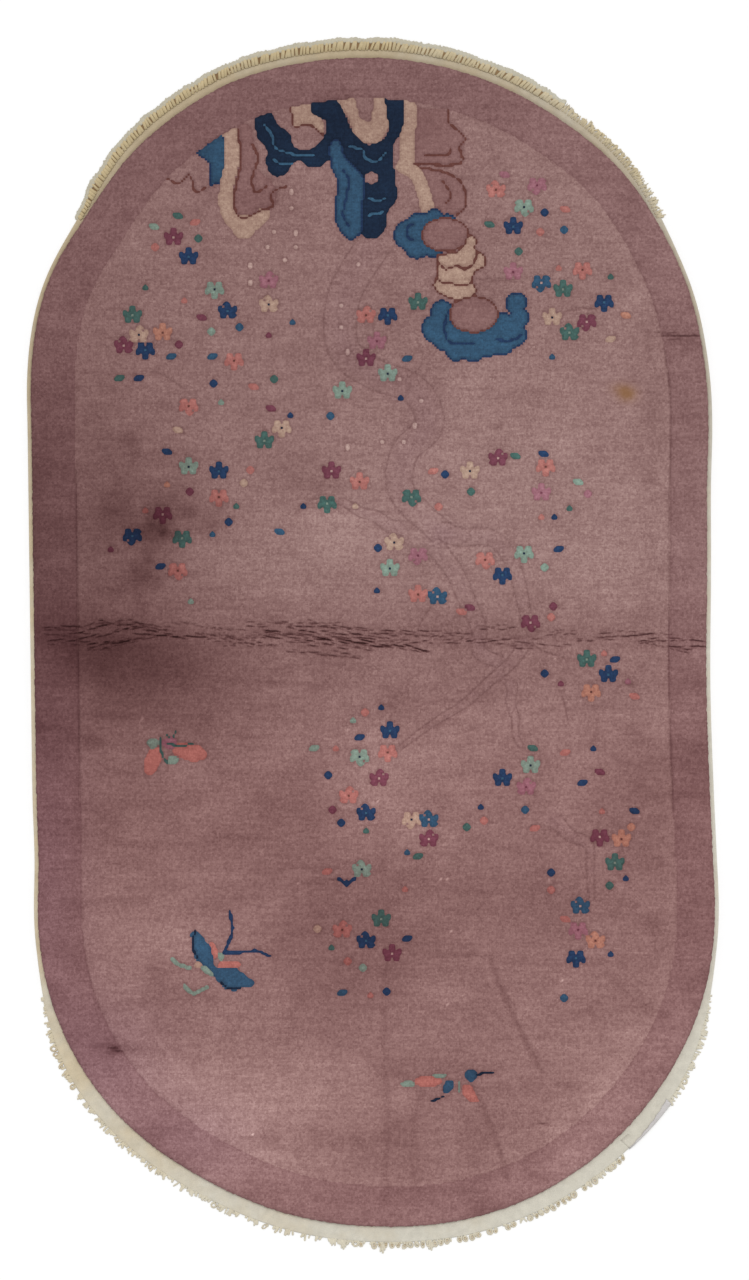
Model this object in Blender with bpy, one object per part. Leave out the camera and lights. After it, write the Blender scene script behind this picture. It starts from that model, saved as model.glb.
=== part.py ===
"""An oval hand-knotted wool rug, lying flat.

The carpet is one solid: a thin cotton foundation whose woven web shows as a
narrow ledge all round, and the wool pile that stands on it, with the worn
cross fold pressed into its top. The knotted warp ends are one comb along the
edge of each end, a hair's breadth off the web.

Metres, +Z up, +Y towards the head of the design, the underside on z = 0 and
the origin under the middle of the whole outline.
"""

import math
import random

import bmesh
import bpy
from mathutils import Vector

# The pile's oval: two nearly straight sides between two end arcs.
HALF_WIDTH = 0.5935
HEAD_SHOULDER = 0.420  # where the sides turn into the head arc
HEAD_RISE = 0.607  # from that shoulder to the top of the arc
HEAD_FULLNESS = 2.02  # 2 is a true ellipse, more is squarer
FOOT_SHOULDER = 0.432
FOOT_RISE = 0.595
FOOT_FULLNESS = 2.16
LEAN = -0.0128  # how far the middle line drifts sideways for each metre up
SIDE_STEPS = 24
ARC_STEPS = 64

# Where the edge was woven fuller or tighter than the plain oval.
# bearing: degrees from +X; spread: degrees; out: metres
UNEVEN_EDGE = (
    {"bearing": 103, "spread": 5, "out": 0.004},
    {"bearing": 123, "spread": 6, "out": -0.009},
    {"bearing": 133, "spread": 8, "out": 0.005},
    {"bearing": 228, "spread": 11, "out": 0.006},
    {"bearing": 252, "spread": 9, "out": -0.008},
    {"bearing": 278, "spread": 13, "out": 0.004},
    {"bearing": 315, "spread": 8, "out": 0.004},
    {"bearing": 352, "spread": 17, "out": -0.006},
    {"bearing": 48, "spread": 8, "out": 0.004},
    {"bearing": 61, "spread": 6, "out": 0.006},
)

# Heights above the floor.
FOUNDATION = 0.003
PILE_TOP = 0.012

# The bare web: a selvedge along the sides that widens round each end.
SELVEDGE = 0.008
END_WEB = 0.022
HEAD_WEB_START = 0.66  # the web begins to widen this far up the head half
FOOT_WEB_START = 0.54
WEB_GROWTH = 0.26  # and has its full width this much further on

# The cross fold: troughs pressed across the pile.
TROUGHS = (
    {"y": 0.021, "half_width": 0.0035, "depth": 0.0015},
    {"y": 0.006, "half_width": 0.0045, "depth": 0.0022},
    {"y": -0.010, "half_width": 0.0040, "depth": 0.0017},
)

# The combs of knotted warp ends.
GAP = 0.0004  # between the web's edge and the comb
COMB_THICK = 0.0032
HEADING = 0.003  # the unbroken strip that the ends hang from
KNOT_PITCH = 0.012
KNOT_WIDTH = 0.0072
HEAD_ENDS = 0.0125  # full length of an end past the heading
FOOT_ENDS = 0.0085
SHORTEST = 0.72  # the shortest end, as a share of the full length
# Longer tails at the foot: x of the tail, and how much longer it hangs.
TAILS = (
    {"x": -0.050, "longer": 0.009},
    {"x": 0.020, "longer": 0.012},
    {"x": 0.103, "longer": 0.010},
)


def eased(t):
    """0 to 1 with soft ends."""
    t = min(max(t, 0.0), 1.0)
    return t * t * (3.0 - 2.0 * t)


def arc_point(angle, shoulder, rise, fullness):
    """A point of an end arc, angle running from 0 on the right to pi on the left."""
    across, along = math.cos(angle), math.sin(angle)
    power = 2.0 / fullness
    x = math.copysign(HALF_WIDTH * abs(across) ** power, across)
    return Vector((x, shoulder + rise * abs(along) ** power))


def plain_oval():
    """The oval's points, anticlockwise from the foot's right shoulder."""
    points = []
    straight = HEAD_SHOULDER + FOOT_SHOULDER
    for i in range(SIDE_STEPS):
        points.append(Vector((HALF_WIDTH, -FOOT_SHOULDER + straight * i / SIDE_STEPS)))
    for i in range(ARC_STEPS):
        angle = math.pi * i / ARC_STEPS
        points.append(arc_point(angle, HEAD_SHOULDER, HEAD_RISE, HEAD_FULLNESS))
    for i in range(SIDE_STEPS):
        points.append(Vector((-HALF_WIDTH, HEAD_SHOULDER - straight * i / SIDE_STEPS)))
    for i in range(ARC_STEPS):
        angle = math.pi * i / ARC_STEPS
        foot = arc_point(angle, FOOT_SHOULDER, FOOT_RISE, FOOT_FULLNESS)
        points.append(-foot)
    return points


def unevenness(point):
    """How far out the edge stands at this point's bearing."""
    bearing = math.degrees(math.atan2(point.y, point.x))
    out = 0.0
    for place in UNEVEN_EDGE:
        off = (bearing - place["bearing"] + 180.0) % 360.0 - 180.0
        out += place["out"] * math.exp(-((off / place["spread"]) ** 2))
    return out


def pile_outline():
    points = []
    for point in plain_oval():
        point = point + point.normalized() * unevenness(point)
        points.append(Vector((point.x + LEAN * point.y, point.y)))
    return points


def outward(points, i):
    """The unit normal of a closed outline at its point i."""
    along = points[(i + 1) % len(points)] - points[i - 1]
    return Vector((along.y, -along.x)).normalized()


def end_share(y):
    """0 along the sides, growing to 1 round either end."""
    start = HEAD_WEB_START if y > 0 else FOOT_WEB_START
    return eased((abs(y) - start) / WEB_GROWTH)


def web_outline(pile):
    points = []
    for i, point in enumerate(pile):
        width = SELVEDGE + (END_WEB - SELVEDGE) * end_share(point.y)
        points.append(point + outward(pile, i) * width)
    return points


def ring(bm, points, height):
    return [bm.verts.new((p.x, p.y, height)) for p in points]


def bridge(bm, lower, upper):
    count = len(lower)
    for i in range(count):
        j = (i + 1) % count
        bm.faces.new((lower[i], lower[j], upper[j], upper[i]))


def press_troughs(bm):
    """Cuts the pile's flat top across at each trough and lowers its middle line."""
    for trough in TROUGHS:
        for share in (-1, 0, 1):
            top = [f for f in bm.faces if all(v.co.z > FOUNDATION for v in f.verts)
                   and abs(f.normal.z) > 0.5]
            edges = {e for f in top for e in f.edges}
            verts = {v for f in top for v in f.verts}
            place = trough["y"] + share * trough["half_width"]
            bmesh.ops.bisect_plane(bm, geom=[*verts, *edges, *top], dist=1e-6,
                                   plane_co=(0, place, 0), plane_no=(0, 1, 0))
    for trough in TROUGHS:
        for v in bm.verts:
            if v.co.z > FOUNDATION and abs(v.co.y - trough["y"]) < 1e-5:
                v.co.z -= trough["depth"]


def finish(bm, name, material):
    bmesh.ops.recalc_face_normals(bm, faces=bm.faces)
    mesh = bpy.data.meshes.new(name)
    bm.to_mesh(mesh)
    bm.free()
    piece = bpy.data.objects.new(name, mesh)
    bpy.context.collection.objects.link(piece)
    mesh.materials.append(material)
    return piece


def make_carpet(pile, web, material):
    """Foundation, web ledge, pile wall and pile top as one closed solid."""
    bm = bmesh.new()
    underside = ring(bm, web, 0.0)
    web_top = ring(bm, web, FOUNDATION)
    pile_foot = ring(bm, pile, FOUNDATION)
    pile_top = ring(bm, pile, PILE_TOP)
    bridge(bm, underside, web_top)
    bridge(bm, web_top, pile_foot)
    bridge(bm, pile_foot, pile_top)
    bm.faces.new(reversed(underside))
    bm.faces.new(pile_top)
    bm.normal_update()
    press_troughs(bm)
    return finish(bm, "carpet", material)


def end_arc(web, head):
    """The web's points round one end, with the way outward at each, right to left."""
    found = []
    for i, point in enumerate(web):
        if (point.y > 0) == head and end_share(point.y) > 0.25:
            found.append((point, outward(web, i)))
    return sorted(found, key=lambda item: -item[0].x)


def along_arc(arc, distance):
    """The place and the way outward this far along the arc."""
    for (start, start_out), (stop, stop_out) in zip(arc, arc[1:]):
        length = (stop - start).length
        if distance <= length:
            share = distance / length
            return start.lerp(stop, share), start_out.lerp(stop_out, share).normalized()
        distance -= length
    return arc[-1]


def end_length(place, full, draw):
    """How far one knotted end reaches past the heading."""
    length = full * end_share(place.y) ** 0.5 * (SHORTEST + (1.0 - SHORTEST) * draw)
    if place.y < 0:
        for tail in TAILS:
            if abs(place.x - tail["x"]) < KNOT_PITCH / 2:
                length += tail["longer"]
    return length


def make_comb(name, arc, full, seed, material):
    """One comb: a strip along the web with a row of short ends, cut flat and raised."""
    draw = random.Random(seed)
    total = sum((b[0] - a[0]).length for a, b in zip(arc, arc[1:]))
    count = int(total / KNOT_PITCH)
    margin = (total - count * KNOT_PITCH + KNOT_PITCH - KNOT_WIDTH) / 2
    bm = bmesh.new()
    last = None
    for k in range(count):
        start = margin + k * KNOT_PITCH
        sides = []
        length = end_length(along_arc(arc, start)[0], full, draw.random())
        for distance in (start, start + KNOT_WIDTH):
            place, out = along_arc(arc, distance)
            inner = bm.verts.new((*(place + out * GAP), 0.0))
            outer = bm.verts.new((*(place + out * (GAP + HEADING)), 0.0))
            tip = bm.verts.new((*(place + out * (GAP + HEADING + length)), 0.0))
            sides.append((inner, outer, tip))
        (in_a, out_a, tip_a), (in_b, out_b, tip_b) = sides
        bm.faces.new((in_a, out_a, out_b, in_b))
        bm.faces.new((out_a, tip_a, tip_b, out_b))
        if last:
            bm.faces.new((last[0], last[1], out_a, in_a))
        last = (in_b, out_b)
    raised = bmesh.ops.extrude_face_region(bm, geom=bm.faces[:])
    lifted = [v for v in raised["geom"] if isinstance(v, bmesh.types.BMVert)]
    bmesh.ops.translate(bm, verts=lifted, vec=(0, 0, COMB_THICK))
    return finish(bm, name, material)


def make_material(name, colour, roughness):
    material = bpy.data.materials.new(name)
    material.use_nodes = True
    shader = material.node_tree.nodes["Principled BSDF"]
    shader.inputs["Base Color"].default_value = (*colour, 1.0)
    shader.inputs["Roughness"].default_value = roughness
    shader.inputs["Metallic"].default_value = 0.0
    return material


def centre_under(pieces):
    """Parents the pieces to an empty that puts their middle over the origin."""
    corners = [v.co for piece in pieces for v in piece.data.vertices]
    middle_x = (min(c.x for c in corners) + max(c.x for c in corners)) / 2
    middle_y = (min(c.y for c in corners) + max(c.y for c in corners)) / 2
    rug = bpy.data.objects.new("rug", None)
    bpy.context.collection.objects.link(rug)
    rug.location = (-middle_x, -middle_y, 0.0)
    for piece in pieces:
        piece.parent = rug


def main():
    for old in list(bpy.data.objects):
        bpy.data.objects.remove(old)
    wool = make_material("wool_pile", (0.27, 0.16, 0.155), 0.95)
    head_cotton = make_material("head_cotton", (0.62, 0.55, 0.41), 0.9)
    foot_cotton = make_material("foot_cotton", (0.60, 0.54, 0.42), 0.9)
    pile = pile_outline()
    web = web_outline(pile)
    centre_under([
        make_carpet(pile, web, wool),
        make_comb("fringe_head", end_arc(web, True), HEAD_ENDS, 11, head_cotton),
        make_comb("fringe_foot", end_arc(web, False), FOOT_ENDS, 12, foot_cotton),
    ])


main()
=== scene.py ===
import math
import random

import bpy
import numpy as np
from mathutils import Matrix, Vector


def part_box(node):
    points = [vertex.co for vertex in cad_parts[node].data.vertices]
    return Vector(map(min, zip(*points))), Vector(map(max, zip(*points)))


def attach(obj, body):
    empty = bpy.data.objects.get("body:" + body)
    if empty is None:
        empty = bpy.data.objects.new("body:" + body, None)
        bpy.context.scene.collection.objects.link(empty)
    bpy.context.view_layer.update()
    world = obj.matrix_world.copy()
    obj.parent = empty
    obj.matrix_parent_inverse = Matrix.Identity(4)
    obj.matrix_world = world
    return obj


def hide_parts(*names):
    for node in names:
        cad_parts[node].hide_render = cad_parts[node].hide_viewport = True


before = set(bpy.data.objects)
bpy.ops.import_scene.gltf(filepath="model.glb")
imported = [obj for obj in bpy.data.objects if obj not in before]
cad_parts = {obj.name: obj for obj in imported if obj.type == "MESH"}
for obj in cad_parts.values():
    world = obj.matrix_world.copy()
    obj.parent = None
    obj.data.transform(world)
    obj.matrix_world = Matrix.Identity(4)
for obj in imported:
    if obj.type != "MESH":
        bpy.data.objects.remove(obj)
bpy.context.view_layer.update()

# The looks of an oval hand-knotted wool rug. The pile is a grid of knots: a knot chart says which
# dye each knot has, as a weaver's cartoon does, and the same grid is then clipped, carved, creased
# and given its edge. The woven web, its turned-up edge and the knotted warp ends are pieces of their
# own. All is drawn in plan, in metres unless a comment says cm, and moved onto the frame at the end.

# The pile's oval, as in the frame: two nearly straight sides between two end arcs.
HALF_WIDTH = 0.5935
HEAD_SHOULDER, HEAD_RISE, HEAD_FULLNESS = 0.420, 0.607, 2.02
FOOT_SHOULDER, FOOT_RISE, FOOT_FULLNESS = 0.432, 0.595, 2.16
LEAN = -0.0128  # how far the middle line leans for each metre up the rug
SIDE_STEPS, ARC_STEPS = 120, 240
# Where the outline swells or draws in: bearing and spread in degrees, and how far out.
UNEVEN_EDGE = (
    {"bearing": 103, "spread": 5, "out": 0.004},
    {"bearing": 123, "spread": 6, "out": -0.009},
    {"bearing": 133, "spread": 8, "out": 0.005},
    {"bearing": 228, "spread": 11, "out": 0.006},
    {"bearing": 252, "spread": 9, "out": -0.008},
    {"bearing": 278, "spread": 13, "out": 0.006},
    {"bearing": 316, "spread": 12, "out": 0.009},
    {"bearing": 352, "spread": 17, "out": -0.005},
    {"bearing": 33, "spread": 6, "out": 0.005},
    {"bearing": 214, "spread": 6, "out": -0.004},
    {"bearing": 48, "spread": 8, "out": 0.004},
    {"bearing": 61, "spread": 6, "out": 0.006},
)
FOUNDATION, PILE_TOP = 0.003, 0.012

# How wide the bare web is along the sides and at the two ends, and where it grows from one to the other.
SELVEDGE, HEAD_WEB, FOOT_WEB, WEB_GROWTH = 0.008, 0.022, 0.029, 0.26
HEAD_WEB_START, FOOT_WEB_START = 0.66, 0.54
FRINGE_SHARE = 0.25  # the share of that growth at which a fringe begins
TAILS = ({"x": -0.050, "longer": 0.009}, {"x": 0.020, "longer": 0.012}, {"x": 0.103, "longer": 0.010})

# The knots: 80 to the foot both ways.
KNOT = 0.00381
COLUMNS, ROWS = 320, 546
CM = 0.01
BORDER_LEFT, BORDER_RIGHT = 0.077, 0.066  # how wide the border is on each side

# Dyes as they look in even light, in sRGB steps of 255.
DYES = {
    "plum_ground": (141, 109, 106),
    "plum_border": (128, 95, 94),
    "rock_shade": (132, 98, 96),
    "navy": (27, 40, 60),
    "ink_blue": (38, 58, 90),
    "mid_blue": (51, 80, 105),
    "pale_blue": (60, 96, 122),
    "soft_coral": (166, 106, 100),
    "cream": (168, 139, 124),
    "blush": (180, 151, 144),
    "coral": (172, 108, 100),
    "orange": (172, 120, 103),
    "sage": (124, 141, 129),
    "teal": (68, 96, 91),
    "plum": (112, 62, 76),
    "rose": (148, 99, 110),
    "brown": (108, 68, 62),
}
DYE = {name: index for index, name in enumerate(DYES)}
# The stain's yellow, and the dark brown of soil and of painted shade on the cotton.
STAIN, SOIL_AND_SHADE_BROWN = (136, 98, 62), (112, 92, 66)
LIGHT_LEVEL = 1.06  # what the lamp and the sky give a level surface


# ------------------------------------------------------------------ plan


def eased(t):
    t = min(max(t, 0.0), 1.0)
    return t * t * (3.0 - 2.0 * t)


def arc_point(angle, shoulder, rise, fullness):
    """A point of an end arc: a half oval, fuller at its shoulders the higher the fullness."""
    across, along = math.cos(angle), math.sin(angle)
    power = 2.0 / fullness
    x = math.copysign(HALF_WIDTH * abs(across) ** power, across)
    return Vector((x, shoulder + rise * abs(along) ** power))


def unevenness(point):
    """How far out of the plain oval the outline stands at a point."""
    bearing = math.degrees(math.atan2(point.y, point.x))
    out = 0.0
    for place in UNEVEN_EDGE:
        off = (bearing - place["bearing"] + 180.0) % 360.0 - 180.0
        out += place["out"] * math.exp(-((off / place["spread"]) ** 2))
    return out


def pile_outline():
    straight = HEAD_SHOULDER + FOOT_SHOULDER
    plain = []
    for i in range(SIDE_STEPS):
        plain.append(Vector((HALF_WIDTH, -FOOT_SHOULDER + straight * i / SIDE_STEPS)))
    for i in range(ARC_STEPS):
        angle = math.pi * i / ARC_STEPS
        plain.append(arc_point(angle, HEAD_SHOULDER, HEAD_RISE, HEAD_FULLNESS))
    for i in range(SIDE_STEPS):
        plain.append(Vector((-HALF_WIDTH, HEAD_SHOULDER - straight * i / SIDE_STEPS)))
    for i in range(ARC_STEPS):
        angle = math.pi * i / ARC_STEPS
        plain.append(-arc_point(angle, FOOT_SHOULDER, FOOT_RISE, FOOT_FULLNESS))
    points = []
    for point in plain:
        point = point + point.normalized() * unevenness(point)
        points.append((point.x + LEAN * point.y, point.y))
    return np.array(points)


def outward_of(points):
    """The way out, square to a closed outline, at each of its points."""
    along = np.roll(points, -1, 0) - np.roll(points, 1, 0)
    out = np.stack([along[:, 1], -along[:, 0]], 1)
    return out / np.linalg.norm(out, axis=1, keepdims=True)


def end_share(y):
    """How far the web has grown from its width along the sides to its width at the ends."""
    start = HEAD_WEB_START if y > 0 else FOOT_WEB_START
    return eased((abs(y) - start) / WEB_GROWTH)


def web_outline(pile):
    full = np.where(pile[:, 1] > 0, HEAD_WEB, FOOT_WEB)
    width = SELVEDGE + (full - SELVEDGE) * np.array([end_share(y) for y in pile[:, 1]])
    return pile + outward_of(pile) * width[:, None]


def border_outline(pile):
    """The line between border and field, further in on the left than on the right."""
    middle = (BORDER_LEFT + BORDER_RIGHT) / 2
    lean = (BORDER_RIGHT - BORDER_LEFT) / 2 * np.clip(pile[:, 0] / HALF_WIDTH, -1, 1)
    return pile - outward_of(pile) * (middle + lean)[:, None]


def rounded(points, closed=False, steps=6):
    """A soft curve through the points."""
    points = [Vector(p) for p in points]
    count = len(points)
    found = []
    for i in range(count if closed else count - 1):
        if closed:
            a, b, c, d = (points[(i + k) % count] for k in (-1, 0, 1, 2))
        else:
            a, b = points[max(i - 1, 0)], points[i]
            c, d = points[i + 1], points[min(i + 2, count - 1)]
        for k in range(steps):
            t = k / steps
            found.append(0.5 * (2 * b + (c - a) * t + (2 * a - 5 * b + 4 * c - d) * t * t
                                + (3 * b - a - 3 * c + d) * t ** 3))
    if not closed:
        found.append(points[-1])
    return np.array([(p.x, p.y) for p in found])


PILE = pile_outline()
WEB = web_outline(PILE)
BORDER = border_outline(PILE)


# ------------------------------------------------------------------ knot chart

knot_x = (np.arange(COLUMNS) - (COLUMNS - 1) / 2) * KNOT
knot_y = (np.arange(ROWS) - (ROWS - 1) / 2) * KNOT
PLAN_X, PLAN_Y = np.meshgrid(knot_x, knot_y)
CM_X, CM_Y = PLAN_X / CM, PLAN_Y / CM
chart = np.full((ROWS, COLUMNS), DYE["plum_ground"])


def inside(points, x, y):
    """Which of the places x, y lie inside the closed outline."""
    found = np.zeros(x.shape, bool)
    for (ax, ay), (bx, by) in zip(points, np.roll(points, -1, 0)):
        if ay == by:
            continue
        crosses = (ay > y) != (by > y)
        found ^= crosses & (x < (bx - ax) * (y - ay) / (by - ay) + ax)
    return found


ON_PILE = inside(PILE, PLAN_X, PLAN_Y)
IN_FIELD = inside(BORDER, PLAN_X, PLAN_Y)


def shape(points, soft=True):
    """The knots inside a shape given in cm, with rounded or straight sides."""
    points = rounded(points, True) if soft else np.array(points, float)
    return inside(points, CM_X, CM_Y)


def oval(x, y, across, along, turn=0.0):
    c, s = math.cos(math.radians(turn)), math.sin(math.radians(turn))
    u = (CM_X - x) * c + (CM_Y - y) * s
    v = (CM_Y - y) * c - (CM_X - x) * s
    return (u / across) ** 2 + (v / along) ** 2 < 1


def lobes(*rounds):
    """Overlapping rounds, each (x, y, radius): the cloud-like edge of a rock."""
    found = np.zeros(chart.shape, bool)
    for x, y, radius in rounds:
        found |= oval(x, y, radius, radius)
    return found


def gap_to(a, b, x, y):
    """How far the places x, y are from the straight piece a, b."""
    along = b - a
    share = ((x - a[0]) * along[0] + (y - a[1]) * along[1]) / max(along @ along, 1e-12)
    share = np.clip(share, 0, 1)
    return np.hypot(x - a[0] - share * along[0], y - a[1] - share * along[1])


LINE = 0.42  # one knot wide, in cm


def stroke(points, width=LINE, soft=True):
    """The knots within half the width of a line, all in cm."""
    points = rounded(points) if soft else np.array(points, float)
    found = np.zeros(chart.shape, bool)
    for a, b in zip(points, points[1:]):
        found |= gap_to(a, b, CM_X, CM_Y) < width / 2
    return found


def rim_of(mask):
    """The outermost knots of a patch."""
    core = mask.copy()
    for axis in (0, 1):
        for step in (-1, 1):
            core &= np.roll(mask, step, axis)
    return mask & ~core


def lay(mask, dye, rim=None):
    """Ties a patch of knots in one dye, and its outermost knots in another if named."""
    chart[mask] = DYE[dye]
    if rim:
        chart[rim_of(mask)] = DYE[rim]


BLOSSOM = (
    "...###...",
    "...###...",
    "##.###.##",
    "#########",
    "####*####",
    ".#######.",
    ".###.###.",
    ".###.###.",
)
FULL_BLOSSOM = (
    "...##....",
    "..####...",
    "##.###.##",
    "#########",
    "####*####",
    ".#######.",
    ".###.####",
    ".###.###.",
)
HALF_BLOSSOM = (
    "##.....##",
    "###.#.###",
    "..#####..",
    "...###...",
    "....#....",
)
BUD = (
    ".####",
    "#####",
    "####.",
)
ROUND_BUD = (
    ".##.",
    "####",
    "####",
    ".##.",
)
SMALL_BUD = (
    ".#.",
    "###",
    "###",
)
DASH = (
    "##",
    "##",
)
TALL_DASH = (
    "##",
    "##",
    "##",
)


def stamp(motif, x, y, dye, dot="cream", turned=False, mirrored=False):
    """Ties one small motif, its middle at x, y in cm."""
    rows = motif[::-1] if turned else motif
    column = round((x * CM - knot_x[0]) / KNOT) - len(motif[0]) // 2
    row = round((y * CM - knot_y[0]) / KNOT) + len(motif) // 2
    for down, knots in enumerate(rows):
        knots = knots[::-1] if mirrored else knots
        for along, knot in enumerate(knots):
            if knot != ".":
                chart[row - down, column + along] = DYE[dot if knot == "*" else dye]


NAVY_CLIFF = (
    (-20.5, 92), (-19, 94), (-17.5, 93), (-16.5, 91), (-14.5, 89.5), (-13.5, 87), (-11, 86.5),
    (-8.5, 88.5), (-8, 91.5), (-10.5, 93), (-10, 95.5), (-7, 96), (-5, 93.5), (-3.5, 90),
    (-1, 87.5), (1.5, 88), (3, 90), (2.5, 96), (5.5, 96), (5.5, 90.5), (4, 87.5), (4, 83),
    (4.5, 78), (3, 76), (2.5, 73), (1, 71), (-1, 71), (-2, 73), (-2, 81.5), (-5, 85), (-7, 85),
    (-9, 83.5), (-11, 83.5), (-13, 84.5), (-15.5, 82), (-17.5, 82), (-18.5, 84), (-18.5, 86.5),
    (-20, 88.5),
)
BLUE_TONGUE = (
    (-7.5, 87), (-6, 88.5), (-5, 87), (-4.5, 85), (-2.5, 83), (-1.2, 81), (-1.4, 77), (-1.4, 74),
    (-1.6, 72), (-3.5, 70.5), (-5, 71.5), (-6.5, 74), (-6.5, 77.5), (-6, 80.5), (-7, 83),
)
CREAM_PATCH = ((-14.5, 94), (-12.5, 95), (-10.5, 95), (-10.5, 93.5), (-8.5, 91.5), (-8.5, 89.5),
               (-11, 91), (-13.5, 90.5), (-14, 92.5))
CREAM_FORK = ((-7, 96), (-3, 96), (-2, 92), (-1, 91.5), (0, 91.5), (0.5, 96), (2.5, 96), (3, 90.5),
              (1.5, 87.5), (-1, 87.5), (-3, 89), (-4, 92))
CREAM_COLUMN = ((5.5, 95.5), (7.5, 95.5), (8, 94), (7.5, 84), (5, 84), (5, 90))
CREAM_FOLDS = ((11.5, 68), (14.5, 68.5), (16, 69.5), (17, 71.5), (18.5, 71), (18.5, 69), (20, 68),
               (20, 66), (18.5, 65), (18, 63.5), (18.5, 61.5), (17, 60), (14.5, 60), (13, 60.5),
               (11, 62), (11, 63.5), (11.5, 65))
BLUE_FLAG = ((-31, 86), (-26, 90), (-25, 84.5), (-26.5, 80.5), (-28.5, 80), (-28.5, 84))
BROWN_FOLD_LINES = (
    ((-23.5, 90), (-23, 84.5), (-24, 79.5), (-24, 76), (-22.5, 74.5), (-19, 76), (-17.5, 76.5),
     (-17.5, 79), (-15, 80)),
    ((-21, 87.5), (-20, 85), (-21, 81.5), (-20.5, 79), (-18.5, 80)),
    ((-36, 81.5), (-34, 80.5), (-32, 82), (-31, 79), (-29, 80)),
    ((-37.5, 80), (-39, 78.5)),
)
CREAM_PATCH_EDGE = ((-14.5, 94.5), (-14, 92.5), (-13.5, 90.5), (-11, 91), (-8.5, 89))
BROWN_LOBE_LINES = (
    ((13.5, 93.5), (13.5, 91.5), (14.5, 90.5), (16.5, 88.5), (15.5, 87), (15.5, 84), (7.5, 84)),
    ((9.5, 85.5), (13, 85.5), (14, 86.5)),
    ((8, 83.5), (13, 82.5), (15.5, 81), (16.5, 79), (16.5, 76.5), (15, 75)),
    ((12.5, 81), (14, 78.5), (13, 77)),
)
PALE_GLINTS = (
    ((-19, 91), (-17.5, 89), (-17, 87), (-15, 86), (-12.5, 85.5), (-10, 85.5)),
    ((-17.5, 85), (-16, 84), (-14, 84)),
    ((-4, 87), (-1.5, 86.5), (-1, 85), (1, 84.5), (2.5, 86)),
    ((-0.5, 78), (1, 77.5), (2.5, 78)),
    ((-0.5, 75), (2, 75.5)),
)


def draw_border():
    lay(ON_PILE & ~IN_FIELD, "plum_border")


def draw_rock():
    """The rock that hangs from the head border, from its shaded folds out to its bright ones."""
    lay(shape(((-24, 90), (-21, 90), (-20.5, 84), (-17, 80), (-17.5, 76), (-22, 74), (-24.5, 76))),
        "rock_shade")
    lay(shape(((7.5, 94), (13.5, 93.5), (13.5, 91.5), (16.5, 88.5), (15.5, 84), (7.5, 84)), False),
        "rock_shade")
    lay(shape(((8.5, 83), (13, 82.5), (15.5, 81), (16.5, 79), (16.5, 76.5), (15, 75), (10.5, 75))),
        "rock_shade")
    lay(shape(BLUE_FLAG, False), "mid_blue", "ink_blue")
    lay(stroke(((-25, 90), (-24.5, 85), (-25.5, 80), (-25.5, 76), (-23.5, 73), (-21.5, 73),
                (-19, 75)), 2.5), "cream")
    lay(oval(-22.5, 73, 2.2, 2.2), "cream")
    for line in BROWN_FOLD_LINES:
        lay(stroke(line), "brown")
    lay(shape(CREAM_PATCH), "cream")
    lay(stroke(CREAM_PATCH_EDGE), "brown")
    lay(shape(CREAM_FORK, False), "cream")
    lay(shape(CREAM_COLUMN, False), "cream")
    lay(stroke(((5.5, 83.5), (7.5, 82.5), (9, 79.5), (10, 75.5)), 2.4), "cream")
    lay(shape(NAVY_CLIFF), "navy")
    lay(shape(BLUE_TONGUE), "mid_blue", "ink_blue")
    lay(stroke(((-5, 83), (-4, 81), (-4.5, 78), (-5, 75), (-4, 73))), "ink_blue")
    lay(oval(0, 81.5, 1.3, 1.0), "plum_ground")
    for line in PALE_GLINTS:
        lay(stroke(line), "pale_blue")
    for line in BROWN_LOBE_LINES:
        lay(stroke(line), "brown")
    lay(lobes((6.5, 71.5, 2.7), (8.5, 73.5, 2.1), (11, 74.5, 1.7), (13.5, 74, 1.3),
              (8, 69.5, 2.3), (11, 69, 1.7)), "mid_blue", "ink_blue")
    lay(stroke(((7.5, 73.5), (6.5, 73), (6.5, 71), (7.5, 70.5))), "ink_blue")
    lay(oval(13, 71.5, 4.3, 3.1), "rock_shade", "brown")
    lay(shape(CREAM_FOLDS), "cream", "brown")
    lay(stroke(((12, 66.5), (13, 65.5), (15, 66), (16.5, 65.5), (18, 66.5), (18.5, 68.5))), "brown")
    lay(stroke(((11.5, 64), (12.5, 63), (14, 63), (15.5, 62.5), (17.5, 63))), "brown")
    lay(lobes((12.5, 58, 2.1), (11.5, 55, 2.7), (13, 53, 2.1), (15, 51.5, 2.3), (18, 51, 2.0),
              (20.5, 52, 2.1), (23, 52.5, 2.3), (25, 54, 2.4), (26, 57, 1.9), (25.5, 59.5, 2.0),
              (22.5, 55.5, 2.6), (16, 54, 2.6), (19, 54, 2.6)), "mid_blue", "ink_blue")
    lay(stroke(((13.5, 58), (13, 56.5), (13, 54), (14, 52.5), (18, 52.5))), "ink_blue")
    lay(stroke(((22, 53), (25, 53), (26.5, 54))), "ink_blue")
    lay(oval(18, 57.5, 4.4, 3.3), "rock_shade", "brown")


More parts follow.
